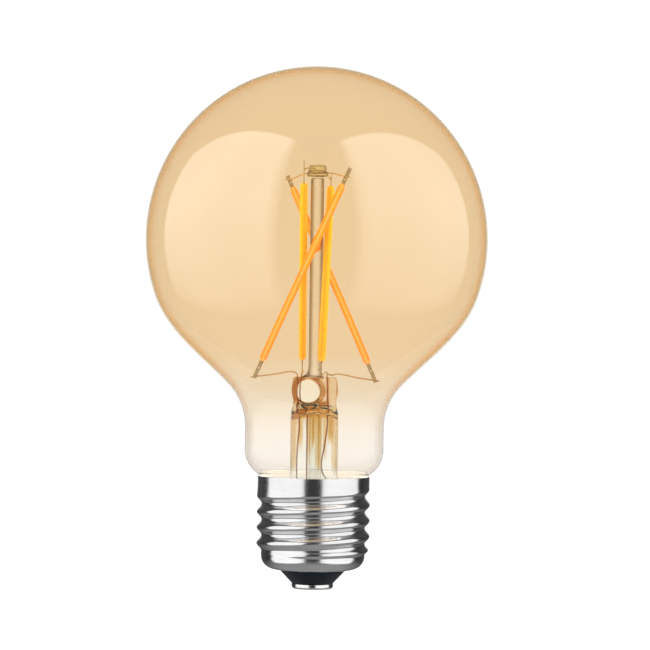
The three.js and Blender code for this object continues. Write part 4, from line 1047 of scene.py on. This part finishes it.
print("wire helpers ready")

# %% [markdown]
# ## Support wires at the head
# Two thin wires are sealed across the button. Each one holds the heads of two opposite filaments, and
# joins them electrically. They leave the bead level, arch a little, and run along the inner face of a tab.

# %% Support wires
WIRE_RADIUS = 0.17


def across_button(first, second, level, tilt):
    """The points of one support wire, from one weld through the button to the other."""
    def half(filament, rise):
        tip, spot, near = weld(filament, "head", WIRE_RADIUS)
        plan = unit([near[0], near[1], 0])
        entry = np.array([plan[0] * 2.5, plan[1] * 2.5, level + rise])
        return [tip, spot, near, near + (entry - near) * 0.45 + (0, 0, 0.15), entry]
    return half(first, tilt / 2) + [np.array([0, 0, level])] + half(second, -tilt / 2)[::-1]


warm_route = across_button("warm_front", "warm_rear", BUTTON_BOTTOM + 0.95, 0)
cool_route = across_button("cool_left", "cool_right", BUTTON_BOTTOM + 1.5, 1.0)
supports = [add_wire(f"{pair}_support_wire", route, WIRE_RADIUS, "support_wire", f"{pair}_bridge_wire")
            for pair, route in (("warm", warm_route), ("cool", cool_route))]

# %% [markdown]
# ## Leads through the press
# Three leads carry the current up: each rises through the tube in front of the exhaust tube, is sealed in
# the press, hooks over its top and reaches out to a filament's foot. A fourth short wire joins the front
# cool filament to the common lead. Their bends are the small accidents of hand work, so the points are
# written out one by one.

# %% Leads
TOP, ROOF, LEAD_RADIUS = STEM_TOP, STEM_ROOF, 0.2
warm_route = weld("warm_front", "foot", LEAD_RADIUS) + [
    (-8.3, -1.5, TOP + 0.7), (-5.7, -0.6, TOP + 1.15), (-4.3, -0.1, TOP + 0.75), (-4.05, 0, TOP - 1),
    (-4.1, 0, ROOF + 3.65), (-3.7, -0.2, ROOF), (-3.45, -0.7, ROOF - 4), (-3.75, -0.6, ROOF - 7),
    (-3.95, -0.5, ROOF - 11), (-4.0, 0, ROOF - 15), (-4.2, 0.9, 15.2), (-4.2, 0.9, 10.9)]
cool_route = weld("cool_left", "foot", LEAD_RADIUS) + [
    (-3.0, 8.6, TOP + 1.0), (-2.95, 3.8, TOP + 1.5), (-3.1, 0.9, TOP + 1.0), (-3.3, 0.7, TOP - 1),
    (-3.42, 0.8, ROOF + 4.86), (-3.2, 0.5, ROOF + 2.43), (-1.9, -1.3, ROOF), (-1.65, -2.6, ROOF - 4),
    (-1.6, -3.0, ROOF - 10), (-1.6, -3.2, ROOF - 16), (-1.2, -9.25, 15.2), (-1.2, -9.25, 10.9)]
common_route = weld("warm_rear", "foot", LEAD_RADIUS) + [
    (9.6, 1.8, TOP - 0.1), (5.4, 0.9, TOP + 0.7), (3.85, 0.4, TOP + 0.45), (2.9, 0.1, TOP + 0.6),
    (2.75, 0, TOP - 1), (2.85, 0, ROOF + 4.05), (3.05, -0.6, ROOF), (2.85, -1.4, ROOF - 4),
    (2.3, -2.6, ROOF - 8), (1.7, -3.1, ROOF - 12), (2.2, -2.7, ROOF - 15),
    (9.25, -1.6, 15.2), (9.25, -1.6, 10.9)]
return_route = weld("cool_right", "foot", LEAD_RADIUS) + [
    (2.1, -8.5, TOP + 0.85), (2.5, -4.0, TOP + 1.2), (2.85, -0.6, TOP + 0.9)]
leads = [add_wire(f"{name}_lead", route, WIRE_RADIUS, "lead_wire", f"lead_wire_{name}", 240)
         for name, route in (("warm", warm_route), ("cool", cool_route), ("common", common_route))]
supports.append(add_wire("return_wire", return_route, WIRE_RADIUS, "support_wire", "cool_return_wire"))

# %% [markdown]
# ## Wire finishes
# The leads are copper-clad iron, which turns reddish brown where the press was melted on them. Outside the
# glass they are brighter and more golden. So the lead's colour follows the height. Drawn wire has fine
# lines along it, and a slightly dull skin.

# %% Lead and support wire finishes
lead_finish, tree, shader, place = finish("copper_clad_lead", Metallic=1.0)
drawn = noise(tree, place, 1.2, 4)
level = sums(tree, "ADD", height_mm(tree, place), spread(tree, drawn, 0.3, 0.7, -0.6, 0.6))
oxide = ramp(tree, spread(tree, level, 20, 56), (0.0, (0.42, 0.27, 0.18)), (0.62, (0.50, 0.25, 0.12)),
             (0.76, (0.60, 0.30, 0.14)), (0.82, (0.80, 0.56, 0.32)), (1.0, (0.92, 0.72, 0.45)))
tree.links.new(oxide, shader.inputs["Base Color"])
tree.links.new(spread(tree, drawn, 0.3, 0.7, 0.28, 0.5), shader.inputs["Roughness"])
relief(tree, shader, drawn, 0.02, 0.4)
for lead in leads:
    lead.data.materials.append(lead_finish)

support_finish = grained("support_wire_finish", (0.72, 0.54, 0.30), (0.92, 0.74, 0.46), 1.5, 4, (0.26, 0.44),
                         0.02, 0.4, Metallic=1.0)
for support in supports:
    support.data.materials.append(support_finish)
print("wires finished")

# %% [markdown]
# ## Cement
# The baked cement is chalky and off-white. It glows, and the glow is painted light, which stands for the
# light that reaches it through the neck from all round.

# %% Cement finish
# Painted light: the cement's emission stands in for the light that reaches it through the neck.
cement = grained("basing_cement", (0.80, 0.77, 0.70), (0.90, 0.88, 0.82), 1.6, 5, (0.80, 0.96), 0.12,
                 Emission_Color=(1.0, 0.96, 0.89, 1), Emission_Strength=1.05)
cement_ring.data.materials.append(cement)
print("cement on", cement_ring.name)

# %% [markdown]
# ## The pieces that keep their CAD shape
# The filament strips with their pierced tabs and the driver inside the cap have the right shape already.
# Their meshes are left alone, and each gets its own finish: steel for the strips, green glass-fibre boards
# with a faint grain, tin, shrink sleeve, ferrite, copper turns, moulded epoxy and the resistor's painted
# coat. All of them are one grain with other colours, so a table holds them.

# %% Finishes for the kept pieces
STRIPS = [f"{name}_filament_strip" for name in FILAMENTS]
EPOXY = ["bridge_rectifier", "driver_chip", "warm_switch", "cool_switch"]
COPPER = ["choke_winding", "live_lead", "fuse_lead", "neutral_lead"]
BOARDS = ["driver_board", "radio_board"]
# Nodes, finish, dark, light, grains in a millimetre, roughness, depth of relief, and how metallic.
STUFFS = [
    (STRIPS, "strip_steel", (0.42, 0.34, 0.20), (0.66, 0.55, 0.36), 1.2, 0.34, 0.02, 1),
    (BOARDS, "circuit_board", (0.010, 0.085, 0.040), (0.022, 0.14, 0.065), 1.1, 0.42, 0.02, 0),
    (["radio_shield"], "tinned_can", (0.52, 0.53, 0.54), (0.70, 0.71, 0.72), 0.8, 0.3, 0.02, 1),
    (["smoothing_capacitor"], "black_sleeve", (0.01, 0.01, 0.013), (0.028, 0.028, 0.034), 0.7, 0.38, 0.02, 0),
    (["choke_core"], "ferrite", (0.018, 0.017, 0.018), (0.045, 0.043, 0.045), 2.5, 0.7, 0.05, 0),
    (COPPER, "copper_turns", (0.42, 0.16, 0.06), (0.72, 0.34, 0.15), 0.5, 0.3, 0.08, 1),
    (EPOXY, "black_epoxy", (0.010, 0.010, 0.011), (0.022, 0.022, 0.024), 2.0, 0.55, 0.03, 0),
    (["fuse_resistor"], "resistor_coat", (0.07, 0.17, 0.30), (0.12, 0.26, 0.42), 0.9, 0.48, 0.04, 0),
]
STRETCHES = {"copper_turns": (0.4, 0.4, 9)}

for names, stuff, dark, light, per_mm, rough, depth_mm, metallic in STUFFS:
    material = grained(stuff, dark, light, per_mm, 5, (rough - 0.08, rough + 0.08), depth_mm,
                       stretch=STRETCHES.get(stuff), Metallic=metallic)
    for name in names:
        for place_in_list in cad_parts[name].material_slots:
            place_in_list.material = material
    print(stuff, "on", len(names), "kept pieces")
